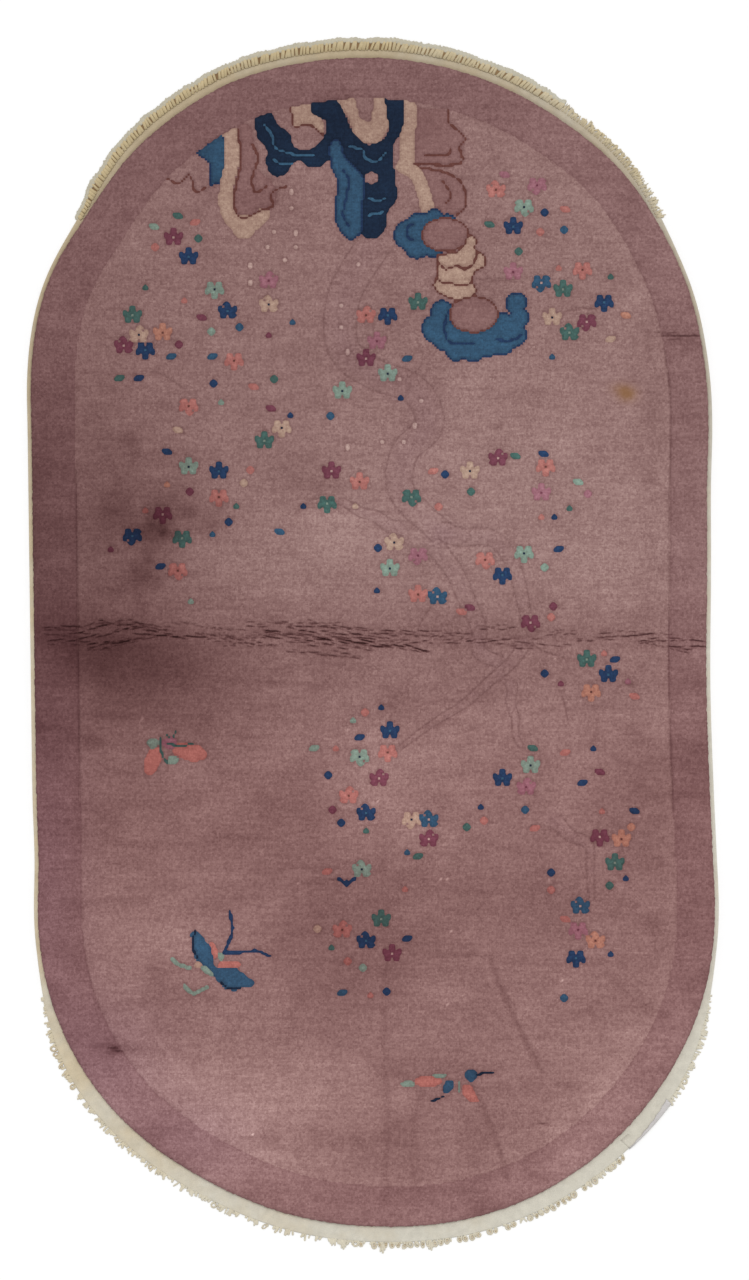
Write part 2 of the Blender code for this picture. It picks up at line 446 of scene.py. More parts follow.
# Where each blossom and bud is tied, x and y in cm from the rug's middle.
BLOSSOMS = {
    "ink_blue": ((-32, 68), (-25, 58), (-40, 51), (-27, 30), (-42, 18), (25, 73), (41, 59), (3, 57),
                 (23, 11), (42, -6), (3, -16), (-1, -30), (23, -24), (-1, -53), (36, -56)),
    "teal": ((-42, 57), (-19, 35), (-33, 18), (-8, 24), (34, 62), (35, 54), (8, 60), (7, 25),
             (38, -3), (43, -39), (2, -49)),
    "sage": ((-28, 62), (-5, 44), (-32, 31), (27, 76), (3, 47), (3, 13), (27, 15), (-2, -21),
             (28, -22), (-2, -40)),
    "soft_coral": ((-24, 49), (-32, 41), (-27, 25), (-34, 12), (-2, 28), (-1, 57), (22, 79), (37, 65),
                   (31, 30), (20, 14), (8, 8), (3, -20), (-4, -27), (-5, -51)),
    "plum": ((-35, 71), (-44, 52), (-37, 22), (-7, 30), (-1, 50), (38, 56), (22, 32), (28, 3),
             (1, -24), (10, -35), (40, -35), (4, -55)),
    "cream": ((-18, 59), (-41, 54), (-16, 37), (32, 57), (17, 30), (4, 17), (7, -32)),
    "rose": ((-18, 63), (25, 65), (29, 80), (1, 53), (30, 26), (8, 15), (27, -26), (36, -51)),
    "mid_blue": ((30, 63), (12, 8), (10, -31), (37, -47)),
    "orange": ((-37, 54), (39, -9), (44, -35), (39, -53)),
}
DOTS = {"ink_blue": "pale_blue", "teal": "sage", "mid_blue": "blush", "plum": "blush",
        "soft_coral": "brown", "sage": "navy", "cream": "navy", "rose": "plum", "orange": "brown"}
BUDS = {
    "ink_blue": ((-41, 46), (-28, 45), (-14, 40), (-36, 33), (-25, 21), (-12, 24), (-37, 13), (31, 75),
                 (5, 43), (30, 33), (13, 29), (32, 22), (33, 16), (1, 16), (1, 9), (43, -3), (31, -6),
                 (2, -12), (-2, -17), (-7, -24), (39, -19), (37, -25), (-5, -32), (19, -29), (46, -30),
                 (32, -41), (45, -42), (6, -52), (3, -62), (42, -55)),
    "teal": ((-34, 75), (-30, 71), (-40, 62), (-44, 46), (-17, 46), (-24, 24), (21, 73), (26, 68),
             (42, 64), (25, 33), (18, 26), (35, 23), (28, -19), (17, -33), (-1, -33), (8, -38),
             (42, -43), (-7, -54)),
    "mid_blue": ((-35, 50), (-23, 55), (-14, 56), (-28, 50), (-7, 39), (-28, 19), (-16, 19),
                 (34, 72), (32, 50), (6, 50), (27, -30), (6, -37), (-5, -62), (34, -63)),
    "soft_coral": ((-31, 74), (-38, 69), (-33, 60), (-21, 45), (-21, 30), (-40, 23), (34, 76), (30, 72),
                   (33, 66), (11, 30), (12, 23), (30, 22), (16, 5), (32, 4), (41, -2), (46, -10),
                   (-1, -13), (-6, -19), (34, -20), (20, -32), (41, -30), (29, -33), (32, -44),
                   (6, -44), (-8, -41), (-4, -57), (0, -62), (34, -49)),
    "sage": ((-38, 73), (-28, 54), (-26, 42), (36, 28), (31, 13), (-3, -14), (-10, -19), (-1, -58),
             (-32, 7)),
    "plum": ((-30, 57), (-34, 52), (-18, 54), (-18, 41), (-32, 26), (-46, 16), (17, 6), (32, 6),
             (33, -7), (40, -23), (-7, -30)),
    "cream": ((-34, 37), (-22, 28), (-3, 24), (42, 53), (-9, -51)),
    "rose": ((23, 82), (38, 26), (45, -7)),
    "orange": ((45, 57), (46, -33), (-36, 28)),
}
PALE_DASHES = (
    (-14, 79), (-14, 76), (-17, 72), (-13, 72), (-18, 69), (-13, 69), (-21, 66), (-15, 67), (-2, 66),
    (-21, 63), (-5, 59), (-5, 55), (-4, 51), (5, 46), (9, 42), (8, 38), (2, 35), (6, 35), (-4, 34),
)


def draw_blossoms():
    for i, (x, y) in enumerate(PALE_DASHES):
        stamp(DASH if i % 3 else TALL_DASH, x, y, "blush")
    draw = random.Random(5)
    for dye, places in BUDS.items():
        for i, (x, y) in enumerate(places):
            x, y = x + draw.uniform(-0.3, 0.3), y + draw.uniform(-0.3, 0.3)
            stamp((BUD, ROUND_BUD, SMALL_BUD)[i % 3], x, y, dye, mirrored=draw.random() < 0.5)
    for dye, places in BLOSSOMS.items():
        for x, y in places:
            motif = BLOSSOM if draw.random() < 0.6 else FULL_BLOSSOM
            x, y = x + draw.uniform(-0.3, 0.3), y + draw.uniform(-0.3, 0.3)
            stamp(motif, x, y, dye, DOTS[dye], draw.random() < 0.3, draw.random() < 0.5)
    stamp(HALF_BLOSSOM, -4.5, -42.5, "ink_blue")


def draw_coral_moth():
    lay(oval(-38.5, -21, 1.4, 2.7, -18), "coral")
    lay(oval(-32, -19.5, 3.2, 1.6, -12), "coral")
    lay(oval(-35.5, -18, 1.4, 1.1), "rose")
    lay(oval(-38.5, -18, 1.1, 0.9), "sage")
    lay(oval(-35, -21, 1.0, 0.9), "sage")
    for line in (
        ((-37, -17), (-37, -19.5), (-36, -21.5)),
        ((-36, -18), (-33.5, -18.5), (-31.5, -18)),
        ((-36, -16.5), (-35.5, -17)),
        ((-34.5, -16), (-35, -17)),
    ):
        lay(stroke(line), "teal")


def draw_blue_moth():
    lay(oval(-28, -54.5, 0.9, 1.6, 15), "coral")
    lay(oval(-25, -57, 2.1, 0.8), "coral")
    lay(lobes((-31, -51.8, 0.9), (-30.4, -53.2, 1.3), (-29.6, -54.6, 1.4), (-30.2, -55.6, 1.0),
              (-28.9, -56, 1.2), (-28.6, -57.2, 0.8)), "mid_blue")
    lay(lobes((-27.6, -58.2, 0.9), (-26.2, -58.9, 1.3), (-24.6, -59.1, 1.6), (-25.4, -60, 1.2),
              (-23.2, -59.7, 1.4), (-24.1, -60.9, 0.8), (-21.6, -60.2, 0.9)), "mid_blue")
    lay(stroke(((-31, -51), (-31.6, -53.5), (-30.6, -55.8))), "navy")
    lay(stroke(((-26.6, -60), (-25, -61.2), (-23, -61))), "navy")
    lay(oval(-26.5, -55.5, 0.7, 0.7), "sage")
    lay(oval(-29, -58, 1.6, 0.5, -35), "sage")
    lay(oval(-30.5, -57, 0.7, 0.6), "cream")
    lay(stroke(((-35, -56), (-34, -57), (-32, -57.5)), 0.7), "sage")
    lay(stroke(((-33, -60.5), (-31.5, -62), (-29, -61)), 0.7), "sage")
    lay(stroke(((-25, -47.5), (-24.5, -51), (-26, -55)), 0.6), "ink_blue")
    lay(stroke(((-26, -55), (-22, -54.7), (-20, -54.6), (-18, -55.5)), 0.6), "ink_blue")


def draw_small_moth():
    lay(oval(6.5, -78, 1.4, 0.6), "sage")
    lay(oval(10, -77.5, 2.5, 1.0), "coral")
    lay(oval(12, -76.5, 1.3, 0.45), "sage")
    lay(oval(13.5, -78.5, 0.9, 1.4, -30), "mid_blue")
    lay(stroke(((13, -80), (12, -80.5), (10.5, -81))), "navy")
    lay(stroke(((15.5, -77.5), (15.5, -79.5))), "sage")
    lay(shape(((16, -78), (17.5, -78), (19, -81), (17, -81), (16, -80)), False), "coral")
    lay(oval(17.5, -76.5, 1.1, 1.1), "mid_blue")
    lay(stroke(((18.5, -76.5), (20, -76), (21.5, -76))), "navy")


draw_rock()
draw_border()
draw_blossoms()
draw_coral_moth()
draw_blue_moth()
draw_small_moth()


# ------------------------------------------------------------------ relief and tone

# Fine plan grids that say, a millimetre at a time, how the pile is carved and pressed, where painted
# shade and painted light fall on it, and where it is soiled.
GRAIN = 0.001
grain_x = np.arange(-0.655, 0.655, GRAIN)
grain_y = np.arange(-1.085, 1.085, GRAIN)
hollow = np.zeros((len(grain_y), len(grain_x)), np.float32)
# painted shade: how much darker the pile is drawn in its grooves, cracks, bends and along its edge
shadow = np.zeros_like(hollow)
# painted light and shade of the nap, mixed with soil, lint, wear and random mottling
tone = np.zeros_like(hollow)
stain = np.zeros_like(hollow)
cool = np.zeros_like(hollow)


def window(low, high):
    """The part of the plan grids between two corners."""
    rows = slice(*np.searchsorted(grain_y, (low[1], high[1])))
    columns = slice(*np.searchsorted(grain_x, (low[0], high[0])))
    return rows, columns


def press(points, width, deep=0.0, dark=0.0):
    """Presses a soft line into the pile: so wide and deep at its middle, with so much painted shade
    darkening it.
    """
    points = np.array(points, float)
    for a, b in zip(points, points[1:]):
        part = window(np.minimum(a, b) - 2.5 * width, np.maximum(a, b) + 2.5 * width)
        x, y = np.meshgrid(grain_x[part[1]], grain_y[part[0]])
        line = np.exp(-((gap_to(a, b, x, y) / width) ** 2))
        hollow[part] = np.maximum(hollow[part], deep * line)
        shadow[part] = np.maximum(shadow[part], dark * line)


def dab(grid, x, y, across, along, amount, turn=0.0):
    """Adds a soft round patch to one of the plan grids, all in cm."""
    reach = 2.6 * max(across, along)
    part = window(((x - reach) * CM, (y - reach) * CM), ((x + reach) * CM, (y + reach) * CM))
    u, v = np.meshgrid(grain_x[part[1]] / CM - x, grain_y[part[0]] / CM - y)
    c, s = math.cos(math.radians(turn)), math.sin(math.radians(turn))
    grid[part] += amount * np.exp(-(((u * c + v * s) / across) ** 2) - ((v * c - u * s) / along) ** 2)


def softened(grid, times):
    """A plan grid blurred by its neighbours."""
    for _ in range(times):
        for axis in (0, 1):
            grid = (np.roll(grid, 1, axis) + 2 * grid + np.roll(grid, -1, axis)) / 4
    return grid


def carve_round_dyes(deep=0.0007, dark=0.10):
    """The clipper's groove where one dye meets the next, with painted shade in it."""
    rows = np.clip(np.round((grain_y - knot_y[0]) / KNOT).astype(int), 0, ROWS - 1)
    columns = np.clip(np.round((grain_x - knot_x[0]) / KNOT).astype(int), 0, COLUMNS - 1)
    dyes = np.where(chart == DYE["plum_border"], DYE["plum_ground"], chart)[np.ix_(rows, columns)]
    edges = (dyes != np.roll(dyes, 1, 0)) | (dyes != np.roll(dyes, 1, 1))
    full_groove = 0.28
    groove = np.minimum(softened(edges.astype(np.float32), 4) / full_groove, 1)
    hollow[:] = np.maximum(hollow, deep * groove)
    shadow[:] = np.maximum(shadow, dark * groove)


# How clear the line round the field is, from one bearing to the next in degrees: dark is the painted
# shade in its groove, and its depth follows it.
BORDER_CARVING = (
    {"from": -150, "to": -110, "dark": 0.09},
    {"from": -110, "to": -30, "dark": 0.03},
    {"from": -30, "to": 45, "dark": 0.16},
    {"from": 45, "to": 62, "dark": 0.08},
    {"from": 62, "to": 118, "dark": 0.04},
    {"from": 118, "to": 150, "dark": 0.02},
    {"from": 150, "to": 210, "dark": 0.14},
)


def carve_border():
    """The carved line round the field with painted shade in it, clear along the sides and worn away at
    the ends.
    """
    bearings = np.degrees(np.arctan2(BORDER[:, 1], BORDER[:, 0]))
    bearings = np.where(bearings < BORDER_CARVING[0]["from"], bearings + 360, bearings)
    for stretch in BORDER_CARVING:
        part = np.flatnonzero((bearings >= stretch["from"]) & (bearings <= stretch["to"]))
        for run in np.split(part, np.flatnonzero(np.diff(part) > 1) + 1):
            press(BORDER[run], 0.0017, 0.0016 * stretch["dark"] / 0.15, stretch["dark"])


# The bare boughs, clipped into the ground as two edges: points in cm, half widths in cm.
BOUGHS = (
    {"way": ((0.5, 70), (-5, 61), (-5, 52), (0, 47.5), (7.5, 44), (10, 38), (6, 33), (5.5, 26),
             (12, 19)), "thick": 3.0, "thin": 2.2},
    {"way": ((-6, 24.5), (-2, 23), (2, 21), (6, 19.5)), "thick": 0.6, "thin": 1.4},
    {"way": ((12, 19), (15, 18.5), (21, 18), (25.5, 12.5), (27, 4)), "thick": 1.9, "thin": 1.0},
    {"way": ((10.5, 17), (15.5, 10.5), (18.5, 3), (19, -1.5), (22.5, -4)), "thick": 1.7, "thin": 1.1},
    {"way": ((27, 0), (23.5, -5), (18, -9.5), (12, -14), (5, -18.5)), "thick": 1.2, "thin": 0.4},
    {"way": ((24.5, -7.5), (25, -13), (26, -18.5)), "thick": 1.0, "thin": 0.5},
    {"way": ((31.5, -31.5), (35, -34), (38.5, -37), (38.5, -45.5)), "thick": 1.4, "thin": 0.5},
)
TWIGS = (
    ((19, 63), (23, 63.5), (27, 63)),
    ((34, 58), (39, 59)),
    ((-39, 47.5), (-36, 46.5), (-32, 43.5)),
    ((33, -8.5), (34, -11), (34.5, -14)),
    ((-14, 22), (-10, 25), (-6, 24.5)),
    ((12, 8), (9, 4), (8, 1)),
    ((26, 4), (29, -1), (34, -3)),
    ((6, 46), (9, 49), (8, 53)),
)


# How the bough and twig grooves are pressed: width, depth, and the painted shade in them.
BOUGH_GROOVE = {"width": 0.0015, "deep": 0.0012, "dark": 0.13}
TWIG_GROOVE = {"width": 0.0014, "deep": 0.0011, "dark": 0.13}


def carve_boughs():
    """Clips both edges of each bough and the line of each twig with painted shade in the grooves, and
    cools the wool between the edges.
    """
    for bough in BOUGHS:
        way = rounded(bough["way"], steps=10)
        along = np.gradient(way, axis=0)
        side = np.stack([-along[:, 1], along[:, 0]], 1) / np.linalg.norm(along, axis=1)[:, None]
        half = np.linspace(bough["thick"], bough["thin"], len(way))[:, None]
        wave = 0.25 * np.sin(np.linspace(0, 14, len(way)))[:, None]
        press((way + side * (half + wave)) * CM, **BOUGH_GROOVE)
        press((way - side * (half - wave)) * CM, **BOUGH_GROOVE)
        for place, thick in zip(way[::4], half[::4, 0]):
            dab(cool, *place, thick, thick, 0.10)
            dab(tone, *place, thick, thick, -0.012)
    for twig in TWIGS:
        press(rounded(twig) * CM, **TWIG_GROOVE)


# The hard fold across the middle, where the pile has cracked open in short wavy lines that overlap
# like scales. Each row of cracks runs from one place to another; all in cm. Dark is how much painted
# shade the opened cracks get.
FOLD_CRACKS = (
    {"from": (-58, 2.5), "to": (-52, 2.5), "long": 4, "dark": 0.5},
    {"from": (-58, 1.4), "to": (-51, 1.2), "long": 5, "dark": 0.4},
    {"from": (-58, 1.9), "to": (-52, 1.8), "long": 5, "dark": 0.3},
    {"from": (-57, -0.1), "to": (-51, -0.1), "long": 4, "dark": 0.5},
    {"from": (-52, 1.9), "to": (-43, 3.1), "long": 3, "dark": 0.6},
    {"from": (-48, 3.3), "to": (-38, 2.4), "long": 2.5, "dark": 0.5},
    {"from": (-52, 0.6), "to": (-40, 2.8), "long": 2.8, "dark": 0.65},
    {"from": (-50, -0.8), "to": (-42, 0.5), "long": 3, "dark": 0.7},
    {"from": (-47, -0.4), "to": (-40, 0.6), "long": 3, "dark": 0.5},
    {"from": (-50, -1.4), "to": (-46, -1), "long": 2, "dark": 0.45},
    {"from": (-42, 2.8), "to": (-36, 1.8), "long": 3, "dark": 0.55},
    {"from": (-42, 1.2), "to": (-33, 0.5), "long": 5, "dark": 0.85},
    {"from": (-40, 1.7), "to": (-35, 1.2), "long": 3, "dark": 0.55},
    {"from": (-35, 3), "to": (-23, 1.8), "long": 2, "dark": 0.3},
    {"from": (-31, 1.2), "to": (-20, -0.6), "long": 2, "dark": 0.55},
    {"from": (-29, 0.2), "to": (-18, 0.8), "long": 1.8, "dark": 0.5},
    {"from": (-28, 2.2), "to": (-20, 1.4), "long": 1.8, "dark": 0.35},
    {"from": (-26, -0.6), "to": (-17, -1), "long": 1.8, "dark": 0.5},
    {"from": (-22, 2.7), "to": (-5, 2.4), "long": 2.6, "dark": 0.55},
    {"from": (-19, 1.7), "to": (-2, 0), "long": 4, "dark": 0.85},
    {"from": (-19, 0.9), "to": (1, -1), "long": 3.5, "dark": 0.8},
    {"from": (-15, 2), "to": (3, 0.8), "long": 2.6, "dark": 0.65},
    {"from": (-11, 3), "to": (0, 2), "long": 2.2, "dark": 0.5},
    {"from": (-15, -0.3), "to": (0, -1.6), "long": 2.4, "dark": 0.55},
    {"from": (-15, -2), "to": (-2, -3), "long": 2.6, "dark": 0.5},
    {"from": (-5, 0.2), "to": (9, -1.4), "long": 4.5, "dark": 0.9},
    {"from": (-2, 1.5), "to": (10, 0.6), "long": 2.2, "dark": 0.55},
    {"from": (2, 2), "to": (16, 1.2), "long": 2.4, "dark": 0.5},
    {"from": (1, -0.2), "to": (13, 0.6), "long": 2.4, "dark": 0.45},
    {"from": (13, -0.2), "to": (26, 0.3), "long": 2.8, "dark": 0.65},
    {"from": (19, 2.2), "to": (25, 2.2), "long": 2, "dark": 0.45},
    {"from": (22, -0.4), "to": (35, -0.7), "long": 2.2, "dark": 0.45},
    {"from": (25, -1.3), "to": (29, -1.2), "long": 2.4, "dark": 0.6},
    {"from": (28, 1), "to": (36, 1.2), "long": 2.2, "dark": 0.4},
    {"from": (36, 0.2), "to": (42, 0.3), "long": 3, "dark": 0.55},
    {"from": (40, 0.8), "to": (47, 1.5), "long": 4.5, "dark": 0.7},
    {"from": (47, 1.4), "to": (53, 1.3), "long": 2.5, "dark": 0.4},
    {"from": (47, 0.2), "to": (53, 0.3), "long": 3, "dark": 0.65},
    {"from": (52, 0.5), "to": (58, 0.3), "long": 3.5, "dark": 0.55},
    {"from": (52, -0.9), "to": (58, -0.9), "long": 3.5, "dark": 0.8},
    {"from": (48, -0.3), "to": (55, -1.8), "long": 2, "dark": 0.35},
)
# Lone cracks elsewhere on the pile, in cm, each with its painted shade.
STRAY_CRACKS = (
    {"at": (54.5, 53.7), "long": 7, "dark": 0.50},
    {"at": (52, 54.3), "long": 4, "dark": 0.25},
    {"at": (53.5, 53.1), "long": 2.6, "dark": 0.30},
    {"at": (-6, -42), "long": 3, "dark": 0.30},
    {"at": (30, -85), "long": 1.8, "dark": 0.30},
    {"at": (-45.5, -71.6), "long": 1.6, "dark": 0.50},
    {"at": (-44.5, -72.2), "long": 2.2, "dark": 0.40},
    {"at": (38.5, 58.7), "long": 6, "dark": 0.22},
    {"at": (21, 63.8), "long": 10, "dark": 0.14},
)


def open_crack(draw, x, y, length, dark, slope=0.0):
    """A short tear of the pile, in cm, widest at its middle and with most painted shade there."""
    steps = max(int(length / 0.4), 4)
    points = []
    for i in range(steps + 1):
        points.append((x + length * (i / steps - 0.5), y + slope * length * (i / steps - 0.5)))
        y += draw.uniform(-0.08, 0.08)
    points = np.array(points) * CM
    for part, share in ((slice(0, None), 0.55), (slice(1, -1), 1.0)):
        press(points[part], 0.0012, 0.0024 * min(1, dark + 0.3) * share, dark * share)


FOLD_TROUGHS = ({"y": 0.021, "deep": 0.0006}, {"y": 0.006, "deep": 0.0012}, {"y": -0.010, "deep": 0.0008})


def crease_fold():
    """Opens the rows of cracks, large and then small ones between them, and sinks the fold's troughs, all
    with painted shade in them.
    """
    draw = random.Random(21)
    for row, share in ((row, share) for share in (1.0, 0.62) for row in FOLD_CRACKS):
        (x, y), (end_x, end_y) = row["from"], row["to"]
        slope = (end_y - y) / (end_x - x)
        if share < 1:
            y += draw.uniform(-0.7, 0.7)
        while x < end_x:
            length = row["long"] * share * draw.uniform(0.35, 0.95)
            dark = row["dark"] * share * draw.uniform(0.6, 1.15)
            middle = (x + length / 2, y + draw.gauss(0, 0.2))
            open_crack(draw, *middle, length, min(dark, 0.85), slope * 1.3)
            step = length * draw.uniform(0.75, 1.4) + 0.25
            x, y = x + step, y + slope * step
    for crack in STRAY_CRACKS:
        open_crack(draw, *crack["at"], crack["long"], crack["dark"])
    across = np.linspace(-0.6, 0.6, 60)
    for trough in FOLD_TROUGHS:
        wandering = trough["y"] + 0.0015 * np.sin(across * 23 + trough["y"] * 400)
        press(np.stack([across, wandering], 1), 0.007, trough["deep"], 0.03)


# Long soft bends that the rug took in storage, their ways in cm, each with painted shade along it.
SOFT_BENDS = (
    {"way": ((2.4, -56), (2.2, -70), (2.6, -84), (2.4, -98.5)), "wide": 0.006, "deep": 0.0009,
     "dark": 0.06},
    {"way": ((1.0, 6), (1.6, -12), (2.0, -32), (2.4, -56)), "wide": 0.006, "deep": 0.0004, "dark": 0.025},
    {"way": ((21, -56), (24, -64), (30, -76)), "wide": 0.0055, "deep": 0.0010, "dark": 0.13},
    {"way": ((30, -76), (33, -78), (36, -79)), "wide": 0.008, "deep": 0.0004, "dark": 0.05},
    {"way": ((19.5, -82), (22, -88), (24, -95)), "wide": 0.0055, "deep": 0.0009, "dark": 0.11},
    {"way": ((8, -80), (7.5, -90), (8, -99)), "wide": 0.010, "deep": 0.0004, "dark": 0.04},
    {"way": ((40, -57), (46, -63), (51, -66)), "wide": 0.009, "deep": 0.0005, "dark": 0.05},
    {"way": ((-52, -34), (-36, -36), (-20, -35)), "wide": 0.010, "deep": 0.0004, "dark": 0.04},
    {"way": ((-54, -46), (-38, -47.5), (-22, -46)), "wide": 0.008, "deep": 0.0004, "dark": 0.04},
    {"way": ((-14, -66), (-15, -78), (-13, -90)), "wide": 0.009, "deep": 0.0005, "dark": 0.035},
    {"way": ((-51, -92), (-40, -84), (-30, -80)), "wide": 0.006, "deep": 0.0004, "dark": 0.02},
    {"way": ((-15, 43), (-4, 43.5), (6, 30.5)), "wide": 0.004, "deep": 0.0004, "dark": 0.03},
)

# Painted light and shade where the nap leans toward or away from the lamp and along the fold, with
# trodden and soiled places: centre and reach in cm, share lighter.
PAINTED_LIGHT_AND_WEAR_PATCHES = (
    {"x": -38, "y": 84, "across": 30, "along": 30, "lighter": -0.03},
    {"x": 45, "y": 75, "across": 28, "along": 28, "lighter": 0.03},
    {"x": 46, "y": 15, "across": 44, "along": 30, "lighter": 0.07},
    {"x": 20, "y": 24, "across": 32, "along": 22, "lighter": 0.04},
    {"x": -8, "y": 20, "across": 12, "along": 9, "lighter": 0.06},
    {"x": -60, "y": 22, "across": 16, "along": 30, "lighter": -0.16},
    {"x": -60, "y": -5, "across": 13, "along": 14, "lighter": -0.14},
    {"x": -45, "y": -3, "across": 13, "along": 8, "lighter": -0.22},
    {"x": -33, "y": -6, "across": 13, "along": 7, "lighter": -0.15},
    {"x": 0, "y": 1.5, "across": 75, "along": 5.5, "lighter": -0.09},
    {"x": 0, "y": -7, "across": 60, "along": 5, "lighter": -0.06},
    {"x": -28, "y": -15, "across": 14, "along": 8, "lighter": -0.09},
    {"x": -46, "y": -28, "across": 14, "along": 13, "lighter": -0.12},
    {"x": -16, "y": -34, "across": 14, "along": 9, "lighter": -0.08},
    {"x": 0, "y": -27, "across": 13, "along": 11, "lighter": 0.07},
    {"x": 5, "y": -43, "across": 34, "along": 6, "lighter": -0.08},
    {"x": -4, "y": -55, "across": 15, "along": 9, "lighter": -0.12},
    {"x": -36, "y": -52, "across": 20, "along": 10, "lighter": 0.05},
    {"x": -20, "y": -80, "across": 20, "along": 14, "lighter": 0.13},
    {"x": 48, "y": -24, "across": 10, "along": 14, "lighter": -0.05},
    {"x": 10, "y": -88, "across": 22, "along": 9, "lighter": -0.03},
    {"x": -30, "y": -14, "across": 3, "along": 2, "lighter": -0.05},
    {"x": -48, "y": 32, "across": 12, "along": 26, "lighter": -0.09},
    {"x": -37, "y": 15, "across": 10, "along": 12, "lighter": -0.09},
    {"x": -46, "y": 2, "across": 14, "along": 6, "lighter": -0.07},
    {"x": -36, "y": 30, "across": 14, "along": 12, "lighter": -0.03},
    {"x": 50, "y": -78, "across": 14, "along": 12, "lighter": 0.12},
    {"x": 30, "y": -94, "across": 18, "along": 8, "lighter": 0.10},
    {"x": -30, "y": -92, "across": 14, "along": 8, "lighter": 0.07},
    {"x": -52, "y": -56, "across": 14, "along": 10, "lighter": 0.03},
    {"x": 36, "y": -68, "across": 12, "along": 10, "lighter": 0.04},
    {"x": 20, "y": -4, "across": 14, "along": 5, "lighter": -0.03},
    {"x": -13, "y": 29, "across": 6, "along": 5, "lighter": -0.09},
    {"x": -40, "y": 3, "across": 20, "along": 5, "lighter": 0.06},
    {"x": -57, "y": -6, "across": 6, "along": 6, "lighter": 0.09},
    {"x": -12, "y": -26, "across": 6, "along": 8, "lighter": -0.07},
    {"x": 31, "y": -50, "across": 5, "along": 5, "lighter": -0.07},
    {"x": -8, "y": -67, "across": 10, "along": 7, "lighter": -0.08},
    {"x": -44, "y": -78, "across": 12, "along": 9, "lighter": 0.10},
    {"x": -22, "y": -94, "across": 12, "along": 6, "lighter": 0.08},
    {"x": 58, "y": 3, "across": 6, "along": 13, "lighter": 0.06},
    {"x": 50, "y": -66, "across": 9, "along": 12, "lighter": 0.04},
    {"x": 59, "y": -30, "across": 6, "along": 16, "lighter": 0.03},
    {"x": 34, "y": -96, "across": 9, "along": 5, "lighter": 0.13},
    {"x": 45, "y": -84, "across": 7, "along": 8, "lighter": 0.07},
    {"x": 8, "y": -103, "across": 14, "along": 4, "lighter": 0.10},
    {"x": -13, "y": -98, "across": 9, "along": 6, "lighter": 0.08},
    {"x": -30, "y": -97, "across": 7, "along": 5, "lighter": 0.08},
    {"x": -45, "y": -85, "across": 7, "along": 5, "lighter": 0.08},
    {"x": 52, "y": 66, "across": 7, "along": 18, "lighter": 0.07},
    {"x": 33, "y": 88, "across": 14, "along": 6, "lighter": 0.03},
    {"x": -1, "y": 92, "across": 16, "along": 5, "lighter": -0.07},
    {"x": -38, "y": -60, "across": 9, "along": 4, "lighter": -0.04},
    {"x": 19, "y": -90, "across": 4, "along": 10, "lighter": -0.06},
    {"x": 28, "y": -88, "across": 3, "along": 6, "lighter": -0.05},
    {"x": 12, "y": -75, "across": 10, "along": 3, "lighter": -0.04},
    {"x": 50, "y": -78, "across": 6, "along": 6, "lighter": -0.12},
    {"x": 42, "y": -86, "across": 5, "along": 4, "lighter": -0.05},
    {"x": 50, "y": -52, "across": 5, "along": 7, "lighter": -0.06},
    {"x": 59, "y": -60, "across": 4, "along": 8, "lighter": -0.07},
    {"x": 59, "y": -18, "across": 4, "along": 8, "lighter": -0.06},
    {"x": -58, "y": -16, "across": 4, "along": 5, "lighter": -0.08},
    {"x": 49.5, "y": 37, "across": 3.5, "along": 20, "lighter": -0.06},
    {"x": 50, "y": 55, "across": 4, "along": 5, "lighter": -0.05},
)
# Blotches of soil, each one many small dabs.
SMUDGES = (
    {"x": -39, "y": 20, "across": 4.5, "along": 6, "lighter": -0.20},
    {"x": -40, "y": 11, "across": 4, "along": 6, "lighter": -0.12},
    {"x": -31, "y": 21.5, "across": 4.5, "along": 3, "lighter": -0.13},
    {"x": -36, "y": 25, "across": 5, "along": 3, "lighter": -0.10},
    {"x": -43, "y": 34, "across": 2.5, "along": 4, "lighter": -0.10},
    {"x": -43, "y": 27, "across": 3, "along": 3, "lighter": -0.08},
    {"x": -27, "y": 22, "across": 3, "along": 4, "lighter": -0.08},
    {"x": -39, "y": 16, "across": 1.5, "along": 2, "lighter": -0.12},
    {"x": -36, "y": 19, "across": 1.5, "along": 1, "lighter": -0.12},
    {"x": -45, "y": -71.5, "across": 5, "along": 2.5, "lighter": -0.09},
    {"x": -45, "y": -72, "across": 1.2, "along": 0.9, "lighter": -0.22},
    {"x": 23, "y": 43, "across": 5, "along": 2, "lighter": -0.06},
    {"x": 14, "y": 27, "across": 4, "along": 1.2, "lighter": -0.05},
    {"x": 22, "y": 38, "across": 2, "along": 1, "lighter": -0.08},
)


def smudge(draw):
    """The blotches of soil, each one two dozen small dabs."""
    for place in SMUDGES:
        for _ in range(24):
            x = place["x"] + draw.gauss(0, 0.5) * place["across"]
            y = place["y"] + draw.gauss(0, 0.5) * place["along"]
            size = draw.uniform(0.14, 0.5)
            dab(tone, x, y, place["across"] * size, place["along"] * size, place["lighter"] * 0.24)


